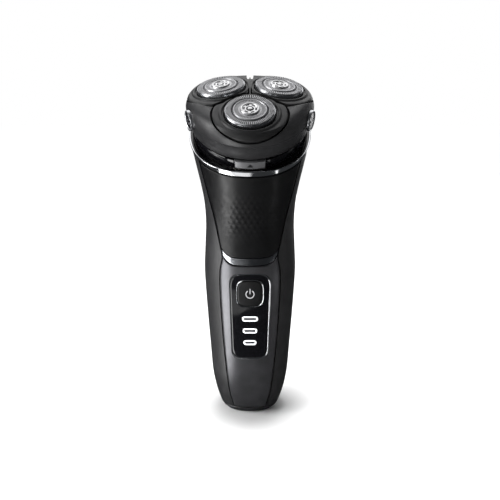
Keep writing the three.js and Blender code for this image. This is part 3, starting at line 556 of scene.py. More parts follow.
SATIN_SILVER = metal("satin_silver", (0.80, 0.81, 0.83), 0.34, 0.02)
STRIP_CHROME = metal("strip_chrome", (0.35, 0.36, 0.38), 0.22, 0.0)
STEEL = metal("steel", (0.55, 0.56, 0.58), 0.26)
GUARD_STEEL = brushed_round("guard_steel", (0.56, 0.56, 0.575), 0.42)
GUARD_BRIGHT = brushed_round("guard_bright", (0.88, 0.88, 0.89), 0.34)
GUARD_DARK = metal("guard_dark", (0.06, 0.06, 0.065), 0.35)
BRASS = metal("brass", (0.72, 0.55, 0.24), 0.25)
ACETAL = plastic("acetal", (0.66, 0.64, 0.58), 0.42, 0.1)
INNER_GREY = plastic("inner_grey", (0.10, 0.10, 0.105), 0.5, 0.3)
BOARD_GREEN = plastic("board_green", (0.015, 0.09, 0.035), 0.35, 0.15)
CELL_BLUE = plastic("cell_blue", (0.02, 0.13, 0.36), 0.3, 0.05)


def glow_material(name, colour, strength):
    mat = material(name, colour, 0.35, Emission_Color=(*colour, 1), Emission_Strength=strength)
    add_grain(mat, 3000, 0.05)
    return mat


LIGHT_WHITE = glow_material("light_white", (0.96, 0.98, 1.0), 0.5)
LIGHT_CORE = plastic("light_core", (0.045, 0.045, 0.047), 0.3, 0.05)


def floor_material():
    mat = material("floor", (0.90, 0.90, 0.90), 0.6)
    vary(mat, "Roughness", 0.55, 0.65, 6)
    return mat


# ---------------------------------------------------------------- handle
def edge_at(z):
    return smooth_rows(PANEL_EDGE, np.ravel(z))[:, 0].reshape(np.shape(z))


def strip_curve(x, middle, end):
    return middle + (end - middle) * (np.abs(x) / STRIP["reach"]) ** 5


def strip_low(x):
    return strip_curve(x, STRIP["low"], STRIP["low_end"])


def strip_high(x):
    return strip_curve(x, STRIP["high"], STRIP["high_end"])


def ring_foot(x, inset=0.0, drop=0.0):
    """The height at which the handle's front skin meets the neck ring's lower plane."""
    x = np.asarray(x, float)
    normal = (RING_FOOT.to_3x3() @ Vector((0, 0, 1))).normalized()
    origin = RING_FOOT @ Vector((0, 0, RING["middle"] - drop))
    low, high = np.full(x.shape, 85.0), np.full(x.shape, 150.0)
    for _ in range(24):
        z = (low + high) / 2
        y = front_y(x, z, inset)
        above = normal.x * (x - origin.x) + normal.y * (y - origin.y) + normal.z * (z - origin.z) > 0
        high = np.where(above, z, high)
        low = np.where(above, low, z)
    return (low + high) / 2


def neck_top(x):
    return ring_foot(x, -0.1, GAP)


def plate_bottom(x):
    return np.full(np.shape(x), BASE_HIGH + 0.1)


def near_border(count, half, edge):
    """Distances along half a width: close together near the border, for its rounding."""
    rim = np.array([0, 0.12, 0.3, 0.55, 1.0]) * edge
    inner = np.linspace(edge, half, count)[1:]
    return np.concatenate([rim, inner])


def border(s, curve, gap):
    """Heights along a panel's end curve, at shares s of the half width there."""
    x = s * 12
    for _ in range(12):
        z = curve(x)
        x = 0.5 * x + 0.5 * s * (edge_at(z) - gap)
    return curve(x)


def panel(low, high, out, rows, columns, edge, gap=0.15, inner=0.8, relief=None):
    """A curved panel on the handle's front, between the curves low(x) and high(x) and the side edges."""
    fine = near_border(rows // 2, 0.5, edge / 60)
    t = np.concatenate([fine, (1 - fine[:-1])[::-1]])
    share = np.concatenate([[0, 0.02, 0.05, 0.09], np.linspace(0.14, 1, columns - 4)])
    s = np.concatenate([-(1 - share)[:-1], (1 - share)[::-1]])
    bottom, top = border(s, low, gap) + gap, border(s, high, gap) - gap
    s, t = np.meshgrid(s, t)
    z = bottom + (top - bottom) * t
    x = s * (edge_at(z) - gap)
    to_side = (1 - np.abs(s)) * (edge_at(z) - gap)
    to_end = np.minimum(z - bottom, top - z)
    drop = rounding(np.minimum(to_side, to_end), edge)
    lift = relief(x, z) if relief else 0
    front = np.stack([x, front_y(x, z, out + drop - lift), z], 2)
    back = np.stack([x, front_y(x, z, inner), z], 2)
    return grid_body(front, back)


def grid_body(front, back):
    """A closed body between two equal grids of points."""
    rows, columns, _ = front.shape
    verts = np.vstack([front.reshape(-1, 3), back.reshape(-1, 3)])
    base = rows * columns
    faces = []
    for r in range(rows - 1):
        for c in range(columns - 1):
            a = r * columns + c
            quad = (a, a + 1, a + columns + 1, a + columns)
            faces.append(quad)
            faces.append(tuple(base + i for i in quad)[::-1])
    rim = list(range(columns))
    rim += [r * columns + columns - 1 for r in range(1, rows)]
    rim += [(rows - 1) * columns + c for c in range(columns - 2, -1, -1)]
    rim += [r * columns for r in range(rows - 2, 0, -1)]
    for i, a in enumerate(rim):
        b = rim[(i + 1) % len(rim)]
        faces.append((b, a, base + a, base + b))
    return verts, faces


def on_skin(outline, inset, side=front_y):
    """A front-view outline (x, z) laid on the handle's skin, inset under it."""
    return np.column_stack([outline[:, 0], side(outline[:, 0], outline[:, 1], inset), outline[:, 1]])


def cushion(outline, out, inner, centre, edge, rings, dish=0.0, side=front_y):
    """A small curved plate on the handle inside an outline, its rim rounded and its middle dished."""
    centre = np.asarray(centre, float)
    reach = np.linalg.norm(outline - centre, axis=1).min()
    front = []
    for share in near_border(rings, 0.97, edge / reach):
        points = centre + (outline - centre) * (1 - share)
        sink = dish * (1 - (1 - share) ** 2)
        front.append(on_skin(points, out + rounding(share * reach, edge) + sink, side))
    return loft([on_skin(outline, inner, side)] + front)


def band(outline, near, far, out, inner, crown):
    """A thin raised frame that follows an outline on the handle's front."""
    chamfer = 0.1
    section = [(near, inner), (near, out + crown), (near + chamfer, out)]
    section += [((near + far) / 2, out - crown * 0.4)]
    section += [(far - chamfer, out), (far, out + crown), (far, inner)]
    return profile_band(outline, section)


def profile_band(outline, section):
    """A closed band whose section is given as (distance from the outline, depth under the handle's skin)."""
    return torus([on_skin(offset(outline, distance), inset) for distance, inset in section])


def mirrored(right):
    """A closed outline from its right half."""
    return np.vstack([right, np.stack([-right[:, 0], right[:, 1]], 1)[::-1]])


def lens_outline(extra, count=160):
    bottom = (LENS["half_bottom"] + extra, LENS["bottom"] - extra)
    top = (LENS["half_top"] + extra, LENS["top"] + extra)
    radii = [LENS["bottom_corner"], LENS["top_corner"], LENS["top_corner"], LENS["bottom_corner"]]
    return resample(rounded_polygon(mirrored(np.array([bottom, top])), radii, 14), count)


def bar_outline(k, extra, count=64):
    r = BARS["height"] / 2 + extra
    half = (BARS["width"] - BARS["narrower"] * k) / 2 + extra - r
    z = BARS["z"] - BARS["pitch"] * k
    t = np.radians(np.linspace(-90, 90, 16))
    right = np.stack([half + r * np.cos(t), z + r * np.sin(t)], 1)
    left = np.stack([-half - r * np.cos(t), z - r * np.sin(t)], 1)
    return resample(np.vstack([right, left]), count)


def button_outline(extra, count=96):
    half_width, half_height = BUTTON["half_width"] + extra, BUTTON["half_height"] + extra
    return resample(super_ellipse(half_width, half_height, BUTTON["power"], 400, BUTTON["z"]), count)


def grip_outline(extra, count=120):
    low, waist, high = GRIP["low"], GRIP["waist"], GRIP["high"]
    knee = (14 + extra, waist - 14)
    curves = [
        [(0, low - extra), (9 + extra, low - extra), (12.5 + extra, low + 12), knee],
        [knee, (15.5 + extra, waist), (14.5 + extra, high + extra), (0, high + extra)],
    ]
    points = []
    for a, b, c, d in np.array(curves, float):
        for t in np.linspace(0, 1, 40, endpoint=False):
            u = 1 - t
            points.append(u**3 * a + 3 * t * u**2 * b + 3 * t**2 * u * c + t**3 * d)
    return resample(mirrored(np.array(points + [(0, high + extra)])), count)


def handle_block(inset, low, high, count=144, step=1.6):
    rows = np.linspace(low, high, max(2, int((high - low) / step)))
    return loft([handle_ring(z, inset, count) for z in rows])


def panel_pocket(count=60):
    """The closed outline of both front panels together, a little wider than they are."""
    z = np.linspace(BASE_HIGH - 0.2, 136, count)
    return mirrored(np.stack([edge_at(z) + GAP, z], 1))


def hollow_handle(name):
    body = make(name, handle_block(0, BASE_HIGH, 151))
    return combine(body, handle_block(WALL, BASE_HIGH - 1, 150.5))


def finish_housing(body, node):
    """Cuts a housing off under the neck ring."""
    combine(body, block(-80, 80, -120, 120, RING["middle"] - GAP, 100), matrix=RING_FOOT)
    tidy(body)
    add_cut_piece(body, 30, HOUSING_BLACK, "handle", "housing_black", node)


def cut_pocket(body, outline, depth, y0, y1, low=0, high=151):
    """Sinks a front-view outline into the skin of a housing."""
    pocket = make("tool", prism(outline, y0, y1, "Y"))
    combine(pocket, handle_block(depth, low, high))
    combine(body, pocket)


def trimmer_bay(extra):
    half, depth = TRIM["half"] + extra, TRIM["depth"] + extra
    return block(-half, half, 21 - depth, 40, TRIM["low"] - extra, TRIM["high"] + extra)


def build_front_housing():
    body = hollow_handle("front_shell")
    combine(body, block(-60, 60, -60, SEAM_Y - GAP / 2, 0, 200), "INTERSECT")
    cut_pocket(body, panel_pocket(), 1.1, -60, 0)
    finish_housing(body, "front_housing")


def build_rear_housing():
    body = hollow_handle("rear_shell")
    walls = make("tool", trimmer_bay(1.6))
    combine(walls, handle_block(0.4, 50, 150), "INTERSECT")
    combine(body, walls, "UNION")
    combine(body, block(-60, 60, SEAM_Y + GAP / 2, 60, 0, 200), "INTERSECT")
    combine(body, trimmer_bay(0))
    y, z = TRIM["hinge"]
    combine(body, cross_rod(0.95, -TRIM["half"] - 1.2, TRIM["half"] + 1.2, y, z))
    cut_pocket(body, grip_outline(GAP), 1.0, 2, 60)
    middle = (SLIDER["high"] + SLIDER["low"] - SLIDER["travel"]) / 2
    half = (SLIDER["high"] - SLIDER["low"] + SLIDER["travel"]) / 2 + 0.5
    cut_pocket(body, super_ellipse(SLIDER["half"] + 0.5, half, 5, 64, middle), 0.9, 10, 60, 60, 130)
    combine(body, block(-1.6, 1.6, 10, 40, SLIDER["low"] - 3.2, SLIDER["high"] - 1))
    finish_housing(body, "rear_housing")


def facets(x, z):
    """A faint field of triangular facets that fades out from the middle of the neck panel."""
    size = 2.6
    u = x / size
    v = z / (size * 0.866)
    a = np.abs((u + v / 2) % 1 - 0.5)
    b = np.abs((u - v / 2) % 1 - 0.5)
    c = np.abs(v % 1 - 0.5)
    height = np.minimum(np.minimum(a, b), c) * 2
    fade = np.clip(1.25 - np.hypot(x / 17, (z - 98.5) / 11), 0, 1) ** 1.2
    return -0.16 * height * fade


def build_front_panels():
    neck = panel(strip_high, neck_top, out=-0.1, rows=130, columns=60, edge=0.3, relief=facets)
    add_piece("neck_panel_skin", neck, PANEL_BLACK, "handle", "panel_black", "neck_panel", angle=50)
    strip = panel(strip_low, strip_high, out=0.1, rows=24, columns=40, edge=0.25)
    add_piece("accent_skin", strip, STRIP_CHROME, "handle", "chrome_trim", "accent_strip", angle=50)
    plate = panel(plate_bottom, strip_low, out=-0.4, rows=110, columns=36, edge=0.5)
    plate = make("front_plate_skin", plate, angle=50)
    combine(plate, prism(lens_outline(0.7), -60, 0, "Y"))
    add_cut_piece(plate, 50, PLATE_GREY, "handle", "plate_grey", "front_plate")


def build_display():
    face = [(0.06, -0.1), (0.12, -0.14), (0.56, -0.46), (0.64, -0.48), (0.68, -0.42)]
    rim = profile_band(lens_outline(0, 200), [(0.06, 0.75)] + face + [(0.68, 0.75)])
    add_piece("display_rim_band", rim, RIM_CHROME, "handle", "chrome_trim", "display_rim", angle=30)
    lens = make("lens", cushion(lens_outline(0), out=-0.14, inner=0.7, centre=(0, 52), edge=0.12, rings=30))
    combine(lens, prism(button_outline(0.72), -60, 0, "Y"))
    for k in range(3):
        combine(lens, prism(bar_outline(k, -0.24), -60, 0, "Y"))
    add_cut_piece(lens, 40, GLOSS_BLACK, "handle", "gloss_black", "display_lens")
    for k in range(3):
        glow = band(bar_outline(k, -0.62), near=-0.33, far=0.33, out=-0.28, inner=0.6, crown=0.08)
        add_piece(f"bar_glow_{k + 1}", glow, LIGHT_WHITE, "handle", "light_white", f"indicator_bar_{k + 1}")
        centre = (0, BARS["z"] - BARS["pitch"] * k)
        core = cushion(bar_outline(k, -0.92), out=-0.2, inner=0.6, centre=centre, edge=0.08, rings=5)
        add_piece(f"bar_core_{k + 1}", core, LIGHT_CORE, "handle", "light_white")
    ring = band(button_outline(0.2), near=0.0, far=0.38, out=-0.40, inner=0.7, crown=0.16)
    add_piece("key_ring", ring, RIM_CHROME, "handle", "chrome_trim", "button_bezel", angle=30)
    centre = (0, BUTTON["z"])
    key = cushion(button_outline(-0.02), out=-0.3, inner=0.4, centre=centre, edge=0.35, rings=14, dish=0.25)
    key = make("key_face", key)
    stem, faces = rod(2.2, -18.2, -14.4, count=32)
    stem = np.stack([stem[:, 0], stem[:, 2], stem[:, 1] + BUTTON["z"]], 1)
    combine(key, (stem, faces), "UNION")
    add_cut_piece(key, 40, KEY_BLACK, "power_key", "key_black", "power_button")
    add_piece("power_mark", power_mark(), MARK_LIGHT, "power_key", "key_black")


def power_mark():
    """The generic power symbol: an open ring and a bar, very slightly raised."""
    width, radius, middle = 0.17, 1.85, BUTTON["z"]
    gap = 32

    def ribbon(centres, normals):
        rings = []
        for (x, z), (nx, nz) in zip(centres, normals):
            corners = ((-1, 0.02), (-1, -0.14), (1, -0.14), (1, 0.02))
            ring = [(x + nx * side * width, z + nz * side * width, inset) for side, inset in corners]
            rings.append([(px, float(front_y(px, pz, inset)), pz) for px, pz, inset in ring])
        return loft(rings)

    normals = [(math.cos(t), math.sin(t)) for t in np.radians(np.linspace(90 + gap, 450 - gap, 48))]
    ring = ribbon([(radius * x, middle - 0.25 + radius * z) for x, z in normals], normals)
    bar = ribbon([(0, middle - 0.15 + h) for h in np.linspace(0, 2.5, 6)], [(1, 0)] * 6)
    return together([ring, bar])


def skin_point(angle, inset, plane, height):
    """Where the handle's skin, at an angle round it, meets a plane of a tilted frame raised by height."""
    normal = (plane.to_3x3() @ Vector((0, 0, 1))).normalized()
    origin = plane.translation
    c, s = np.cos(angle), np.sin(angle)
    z = np.full(angle.shape, NECK_HEIGHT)
    for _ in range(30):
        size = smooth_rows(HANDLE, z) - inset
        x = size[:, 0] * squared(c, SQUARENESS)
        y = np.where(s < 0, size[:, 1], size[:, 2]) * squared(s, SQUARENESS)
        goal = origin.z + (height - normal.x * (x - origin.x) - normal.y * (y - origin.y)) / normal.z
        z = z + 0.6 * (goal - z)
    return np.stack([x, y, z], 1)


def build_neck_ring():
    angle = np.arange(240) / 240 * 2 * math.pi
    thinner = 0.6 * np.cos(angle) ** 2  # the band narrows towards the sides

    def foot(inset, rise):
        return skin_point(angle, inset, RING_FOOT, RING["middle"] + rise + thinner)

    def top(inset, drop):
        return skin_point(angle, inset, UNIT, RING["top"] - drop)

    rim = [(0.3, 0), (0.05, 0), (-0.2, 0.05), (-0.31, 0.12), (-0.35, 0.22), (-0.35, 0.28)]
    ring = torus([foot(*point) for point in rim] + [top(*point) for point in rim[::-1]])
    add_piece("neck_band", ring, CHROME, "handle", "chrome_trim", "neck_ring", angle=40)
    liner = torus([foot(0.34, 0), top(0.34, 0.04), top(0.5, 0), top(1.4, 0), top(1.5, 0.1), foot(1.5, 0)])
    add_piece("neck_band_liner", liner, GLOSS_BLACK, "handle", "gloss_black", angle=40)


def build_base():
    rows = [0, 0.15, 0.5, 1.0, 1.7, 2.4, 2.7, BASE_HIGH - GAP]
    insets = [0.5, 0.16, 0, 0, 0, 0, 0.05, 0.25]
    foot = make("foot_cap", loft([handle_ring(z, i, 144) for z, i in zip(rows, insets)]))
    outline = super_ellipse(INLET["half_width"] + 1.3, INLET["half_depth"] + 1.3, 4, 80, INLET["y"])
    combine(foot, prism(outline, 0.5, INLET["roof"] + 1.4), "UNION")
    outline = super_ellipse(INLET["half_width"], INLET["half_depth"], 4, 80, INLET["y"])
    combine(foot, prism(outline, -1, INLET["roof"]))
    combine(foot, handle_block(-0.001, -2, 12), "INTERSECT")
    add_cut_piece(foot, 30, HOUSING_BLACK, "handle", "housing_black", "base_cap")


def grip_pad(outline):
    """The soft pad on the back, crossed by fine grip ribs."""
    low, high, edge = GRIP["low"], GRIP["high"], 0.4
    z = np.linspace(low, high, 200)
    right = outline[outline[:, 0] >= 0]
    order = np.argsort(right[:, 1])
    half = np.maximum(np.interp(z, right[order, 1], right[order, 0]), 0.6)
    s = np.concatenate([[-1, -0.985, -0.95], np.linspace(-0.88, 0.88, 31), [0.95, 0.985, 1]])
    s, z = np.meshgrid(s, z)
    x = s * half[:, None]
    to_side = (1 - np.abs(s)) * half[:, None]
    to_end = np.minimum(z - low, high - z)
    field = np.clip(np.minimum(to_side - 1.6, to_end - 3.0) / 1.2, 0, 1)
    wave = np.abs(np.sin(math.pi * (z - 0.35 * np.abs(x)) / 2.4)) ** 0.6
    lift = 0.3 * (wave - 1) * field
    front = np.stack([x, back_y(x, z, -0.28 + rounding(np.minimum(to_side, to_end), edge) - lift), z], 2)
    back = np.stack([x, back_y(x, z, 0.7), z], 2)
    return grid_body(back, front)


def build_trimmer_cover():
    y, z = TRIM["hinge"]
    half = TRIM["half"] - 0.4
    arm = make("trimmer_cover", handle_block(0.02, 95, 135, 144, 1.0))
    combine(arm, block(-half, half, 16.6, 40, TRIM["low"] + 0.4, TRIM["high"] - 3.6), "INTERSECT")
    keep = make("tool", block(-40, 40, 0, 60, z, 200))
    combine(keep, cross_rod(2.4, -40, 40, y, z, 48), "UNION")
    combine(arm, keep, "INTERSECT")
    combine(arm, cross_rod(1.0, -20, 20, y, z))
    for k in range(5):
        groove = 118.0 - 1.6 * k
        combine(arm, block(-6.5, 6.5, 20.95, 30, groove, groove + 0.7))
    tidy(arm)
    round_edges(arm, 0.25, 40)
    add_cut_piece(arm, 40, SHELL_BLACK, "trimmer", "housing_black", "trimmer_arm")


def build_slide():
    low, high = SLIDER["low"], SLIDER["high"]
    middle = (low + high) / 2
    outline = resample(super_ellipse(SLIDER["half"] - 0.2, (high - low) / 2 - 0.2, 4, 300, middle), 80)
    slide = cushion(outline[::-1], out=-0.68, inner=0.4, centre=(0, middle), edge=0.3, rings=12, side=back_y)
    slide = make("slide_face", slide)
    combine(slide, block(-1.2, 1.2, 17.2, 20.6, high - 4.4, high - 1.6), "UNION")
    for k in range(4):
        combine(slide, cross_rod(0.32, -3.2, 3.2, 21.62, middle - 2.1 + 1.4 * k, 16))
    add_cut_piece(slide, 40, RELEASE_GREY, "trimmer_slide", "plate_grey", "trimmer_slide")


def build_back():
    pad = grip_pad(grip_outline(0, 400))
    add_piece("back_pad", pad, RUBBER, "handle", "soft_grip", "rear_grip", angle=50)
    build_trimmer_cover()
    build_slide()


# ---------------------------------------------------------------- shaving unit
def head_centre(k):
    t = math.radians(-90 + 120 * k)
    return HEAD_CIRCLE * math.cos(t), UNIT_Y + HEAD_CIRCLE * math.sin(t)


def pod_matrix(k):
    x, y = head_centre(k)
    return Matrix.Translation((x, y, 0)) @ Matrix.Rotation(math.radians(-90 + 120 * k), 4, "Z")


def leaning_matrix(k):
    return pod_matrix(k) @ Matrix.Translation((0, 0, HEAD_TOP)) @ Matrix.Rotation(HEAD_LEAN, 4, "Y")


# Rows of the head shell and of the cups: height, growth and scale of the unit's outline.
FORM = [
    (5.6, -0.95, 0.950), (5.75, -0.6, 0.950), (6.1, -0.4, 0.952), (9.0, -0.33, 0.968),
    (12.1, -0.25, 0.986), (12.35, -0.2, 0.990), (12.75, -0.03, 0.999), (13.0, 0.0, 1.0),
    (14.2, 0.0, 1.0), (15.6, 0.0, 1.0), (16.8, -0.1, 0.994), (18.0, -0.3, 0.985),
    (18.9, -0.65, 0.973), (19.6, -1.05, 0.959), (20.1, -1.6, 0.94), (20.45, -2.1, 0.92),
    (20.6, -2.9, 0.9),
]
POD_FORM = [
    (11.4, 0.0, 0.99), (12.8, 0.0, 1.0), (15.6, 0.0, 1.0), (16.8, -0.1, 0.994), (18.0, -0.3, 0.985),
    (19.0, -0.7, 0.972), (19.8, -1.2, 0.955), (20.8, -1.95, 0.925), (21.8, -3.0, 0.88), (24.0, -6.0, 0.8),
]
# The side of a cup from below: radius, height over the head's plane.
POD_SIDE = [
    (12.5, -12.0), (14.1, -7.5), (15.0, -5.7), (15.6, -4.1), (16.05, -3.1), (16.15, -2.6),
    (15.95, -2.15), (15.4, -1.9), (14.3, -1.9), (13.5, -1.85), (13.15, -1.5), (12.8, -1.28),
    (12.3, -1.24), (12.0, -1.45), (11.9, -2.1),
]


def unit_block(rows, count=180):
    return loft([unit_ring(z, grow, scale, count) for z, grow, scale in rows])


def build_head_shell():
    shell = make("unit_shell", unit_block(FORM))
    combine(shell, unit_block([(4.0, -SHELL_WALL - 0.2, 0.955), (SHELL_FLOOR[0], -SHELL_WALL, 0.975)]))
    side = [(r + POD["clearance"], z) for r, z in POD_SIDE[:6]]
    cup = lathe([(0, -12)] + side + [(side[-1][0] + 0.1, 12), (0, 12)], 144)
    for k in range(3):
        pocket = make("tool", cup, None, leaning_matrix(k))
        combine(pocket, block(-60, 60, -60, 60, SHELL_FLOOR[1], 60), "INTERSECT")
        combine(shell, pocket)
        x, y = head_centre(k)
        combine(shell, rod(9.2, 5, 15, x, y))
        if k:
            combine(shell, rod(4.4, 5, 15, x, y - 6.6))
    combine(shell, rod(15.6, SHELL_FLOOR[1], 30, 0, UNIT_Y, 96))
    combine(shell, rod(2.4, 8, 11, 0, UNIT_Y))
    combine(shell, block(-40, 40, 8, 40, SHELL_BACK, 40))
    combine(shell, block(-NOTCH, NOTCH, 16, 40, SHELL_BACK - 2.2, 40))
    combine(shell, block(-0.3, 0.3, 1, 22, SHELL_FLOOR[0] + 0.5, 19.0), "UNION")
    cut_hinge(shell)
    for side in (-1, 1):
        combine(shell, rod(BADGE["radius"] + 0.3, -1.2, 4, count=64), matrix=badge_matrix(side))
    tidy(shell)
    shell.data.transform(in_metres(UNIT))
    round_edges(shell, 0.34, 32)
    add_cut_piece(shell, 34, SHELL_BLACK, "shaving_unit", "housing_black", "head_shell")


def cut_hinge(shell):
    """Makes room for the collar's ears and adds the lug that the hinge pin passes through."""
    y, z, knuckle, half = HINGE["y"], HINGE["z"], HINGE["knuckle"], HINGE["half_lug"]
    for side in (-1, 1):
        near, far = sorted((side * half, side * (HINGE["half_pin"] + 1.3)))
        combine(shell, cross_rod(knuckle + 0.6, near, far, y, z))
    lug = make("tool", block(-half, half, y - 1.6, y + 0.8, z, 8))
    combine(lug, cross_rod(knuckle, -half, half, y, z, 48), "UNION")
    combine(shell, lug, "UNION")
    combine(shell, cross_rod(HINGE["pin"] + 0.25, -30, 30, y, z))


def badge_matrix(side):
    t = math.radians(side * (90 - BADGE["place"]) - 90)
    r = OUTLINE[0] + OUTLINE[1] * math.cos(3 * (t + math.pi / 2)) + BADGE["proud"]
    return (
        Matrix.Translation((r * math.cos(t), UNIT_Y + r * math.sin(t), BADGE["z"]))
        @ Matrix.Rotation(math.radians(side * (90 - BADGE["facing"]) - 90), 4, "Z")
        @ Matrix.Rotation(math.pi / 2, 4, "Y")
    )


def build_badges():
    radius = BADGE["radius"]
    inner, low = radius - 1.0, radius - 0.78
    disc = [(0, -0.9), (inner, -0.9), (inner, 0.0), (inner - 0.2, 0.18), (inner - 0.7, 0.1), (0, 0.02)]
    rim = [(low, -0.9), (low, 0.16), (low + 0.14, 0.34), (radius - 0.3, 0.46), (radius - 0.08, 0.36)]
    rim += [(radius, 0.16), (radius, -0.9)]
    for label, side in (("left", -1), ("right", 1)):
        for name, shape, look, angle, slot, *node in (
            ("disc", lathe(disc), GLOSS_BLACK, 32, "gloss_black", f"side_badge_{label}"),
            ("rim", lathe(rim), SATIN_SILVER, 40, "chrome_trim", f"side_badge_rim_{label}"),
            ("swirl", swirl_shape(inner - 0.5), SATIN_SILVER, 32, "chrome_trim"),
        ):
            piece = make(f"badge_{name}_{label}", shape, look, UNIT @ badge_matrix(side), angle)
            place(piece, "shaving_unit", slot, *node)


def swirl_shape(reach, steps=14):
    """Three curved blades round a small hub."""
    blades = []
    for blade in range(3):
        rings = []
        for t in np.arange(steps + 1) / steps:
            r = 0.5 + (reach - 0.5) * t
            turn = math.radians(blade * 120 + 100 * t)
            half = 0.10 + 0.26 * math.sin(math.pi * min(1, t * 1.05))
            out = np.array([math.cos(turn), math.sin(turn), 0])
            across = np.array([-math.sin(turn), math.cos(turn), 0])
            corners = ((-1, -0.1), (-1, 0.24), (1, 0.24), (1, -0.1))
            rings.append([out * r + across * half * side + (0, 0, z) for side, z in corners])
        blades.append(loft(rings))
    return together(blades)


def build_pod(k, label):
    pod = make(f"pod_cup_{label}", lathe([(0, -12)] + POD_SIDE + [(0, -2.1)], 144), None, leaning_matrix(k))
    combine(pod, rod(POD["bore"], -20, 20, count=144), matrix=leaning_matrix(k))
    apex = -HEAD_CIRCLE + POD["gap"] / math.sin(math.radians(60))
    reach, spread = 40, 40 * math.tan(math.radians(60))
    wedge = prism([(apex, 0), (apex + reach, -spread), (apex + reach, spread)], POD["low"], 40)
    combine(pod, wedge, "INTERSECT", pod_matrix(k))
    combine(pod, unit_block(POD_FORM), "INTERSECT")
    if k:
        notch = mirrored(np.array([(NOTCH / 2, 4), (NOTCH, 22), (NOTCH, 40)]))
        combine(pod, prism(notch, POD["low"] - 1, 40))
    tidy(pod)
    pod.data.transform(in_metres(UNIT))
    round_edges(pod, 0.36, 32)
    add_cut_piece(pod, 34, POD_BLACK, f"pod_{label}", "housing_black", f"pod_{label}")


def slotted_plate(profile, slots, share, solid_rows, thickness=0.35):
    """A thin turned plate, cut by radial slots except in the rows that stay solid."""
    columns = slots * 4
    # The four columns of each pitch stand at the slot's two sides and along the bar between two slots.
    places = np.array([0, share, 0.5 + share / 2, 0.999])
    number = np.arange(columns)
    t = (number // 4 + places[number % 4]) / slots * 2 * math.pi
    rows = len(profile)
    outer = np.array([[(r * math.cos(a), r * math.sin(a), z) for a in t] for r, z in profile])
    inner = outer - np.array([0, 0, thickness])
    verts = np.vstack([outer.reshape(-1, 3), inner.reshape(-1, 3)])
    base = rows * columns

    def at(r, c):
        return r * columns + c % columns

    def is_solid(r, c):
        return 0 <= r < rows - 1 and (r in solid_rows or c % 4 != 0)

    faces = []
    for r in range(rows - 1):
        for c in range(columns):
            if not is_solid(r, c):
                continue
            quad = (at(r, c), at(r, c + 1), at(r + 1, c + 1), at(r + 1, c))
            faces.append(quad)
            faces.append(tuple(base + i for i in quad)[::-1])
            for side, (down, along) in enumerate(((-1, 0), (0, 1), (1, 0), (0, -1))):
                if not is_solid(r + down, c + along):
                    a, b = quad[side], quad[(side + 1) % 4]
                    faces.append((b, a, base + a, base + b))
    return verts, faces


# Sections of a guard: radius, height over the head's plane.
GUARD_SKIRT = [
    (10.9, -5.2), (10.9, -0.75), (10.82, -0.5), (10.66, -0.36), (10.4, -0.4), (10.3, -0.62), (10.2, -5.2),
]
OUTER_TRACK = [
    (10.42, -0.5), (10.36, -0.08), (10.2, 0.04), (9.95, 0.06), (8.45, 0.06), (8.2, 0.04), (8.04, -0.08),
    (7.98, -0.42),
]
INNER_TRACK = [
    (7.4, -0.42), (7.3, -0.05), (7.12, 0.26), (6.9, 0.32), (6.66, 0.26), (6.56, 0.12), (5.0, 0.12),
    (4.6, 0.12), (4.2, 0.1),
]
GROOVE = [(8.1, -0.75), (8.1, -0.45), (7.3, -0.45), (7.3, -0.75)]
CAP_FACE = 0.48
CAP = [
    (0, -0.6), (4.1, -0.6), (4.1, 0.45), (3.98, 0.64), (3.7, 0.74), (3.35, 0.72), (3.2, 0.6),
    (3.1, CAP_FACE), (0, CAP_FACE),
]


def build_guard(k, label):
    matrix = UNIT @ leaning_matrix(k)
    body = f"guard_{label}"
    skirt = lathe(GUARD_SKIRT, 144)
    add_piece(f"guard_skirt_{label}", skirt, STEEL, body, "blade_steel", body, matrix=matrix, angle=40)
    outer = slotted_plate(OUTER_TRACK, 72, 0.5, {0, 1, 5, 6})
    inner = slotted_plate(INNER_TRACK, 60, 0.46, {0, 1, 2, 3, 4, 6, 7})
    for name, shape, look, angle, slot, *node in (
        ("guard_outer_track", outer, GUARD_STEEL, 30, "blade_steel"),
        ("guard_inner_track", inner, GUARD_STEEL, 30, "blade_steel"),
        ("guard_groove", lathe(GROOVE), GUARD_DARK, 40, "blade_steel"),
        ("guard_cap_face", lathe(CAP), GUARD_BRIGHT, 40, "chrome_trim", f"guard_cap_{label}"),
        ("cap_well", cap_well(), GUARD_DARK, 40, "chrome_trim"),
        ("cap_dot", cap_dot(), GUARD_BRIGHT, 40, "chrome_trim"),
        ("cap_dashes", cap_dashes(), GUARD_DARK, 40, "chrome_trim"),
    ):
        piece = make(f"{name}_{label}", shape, look, None, angle)
        piece.matrix_world = in_metres(matrix)  # the turned lines need the piece's own axis
        place(piece, body, slot, *node)


def cap_well():
    low, high = CAP_FACE - 0.1, CAP_FACE + 0.03
    return lathe([(0.98, low), (0.98, high), (1.65, high), (1.65, low)])


def cap_dot():
    z = CAP_FACE
    return lathe([(0, z - 0.1), (0.96, z - 0.1), (0.96, z + 0.1), (0.8, z + 0.17), (0, z + 0.2)], 48)


def cap_dashes():
    """Six short arcs round the dot."""
    corners = ((2.25, -0.05), (2.25, 0.03), (2.95, 0.03), (2.95, -0.05))
    dashes = []
    for start in range(0, 360, 60):
        turns = np.radians(np.linspace(start + 6, start + 42, 10))
        rings = [[(r * math.cos(a), r * math.sin(a), CAP_FACE + h) for r, h in corners] for a in turns]
        dashes.append(loft(rings))
    return together(dashes)


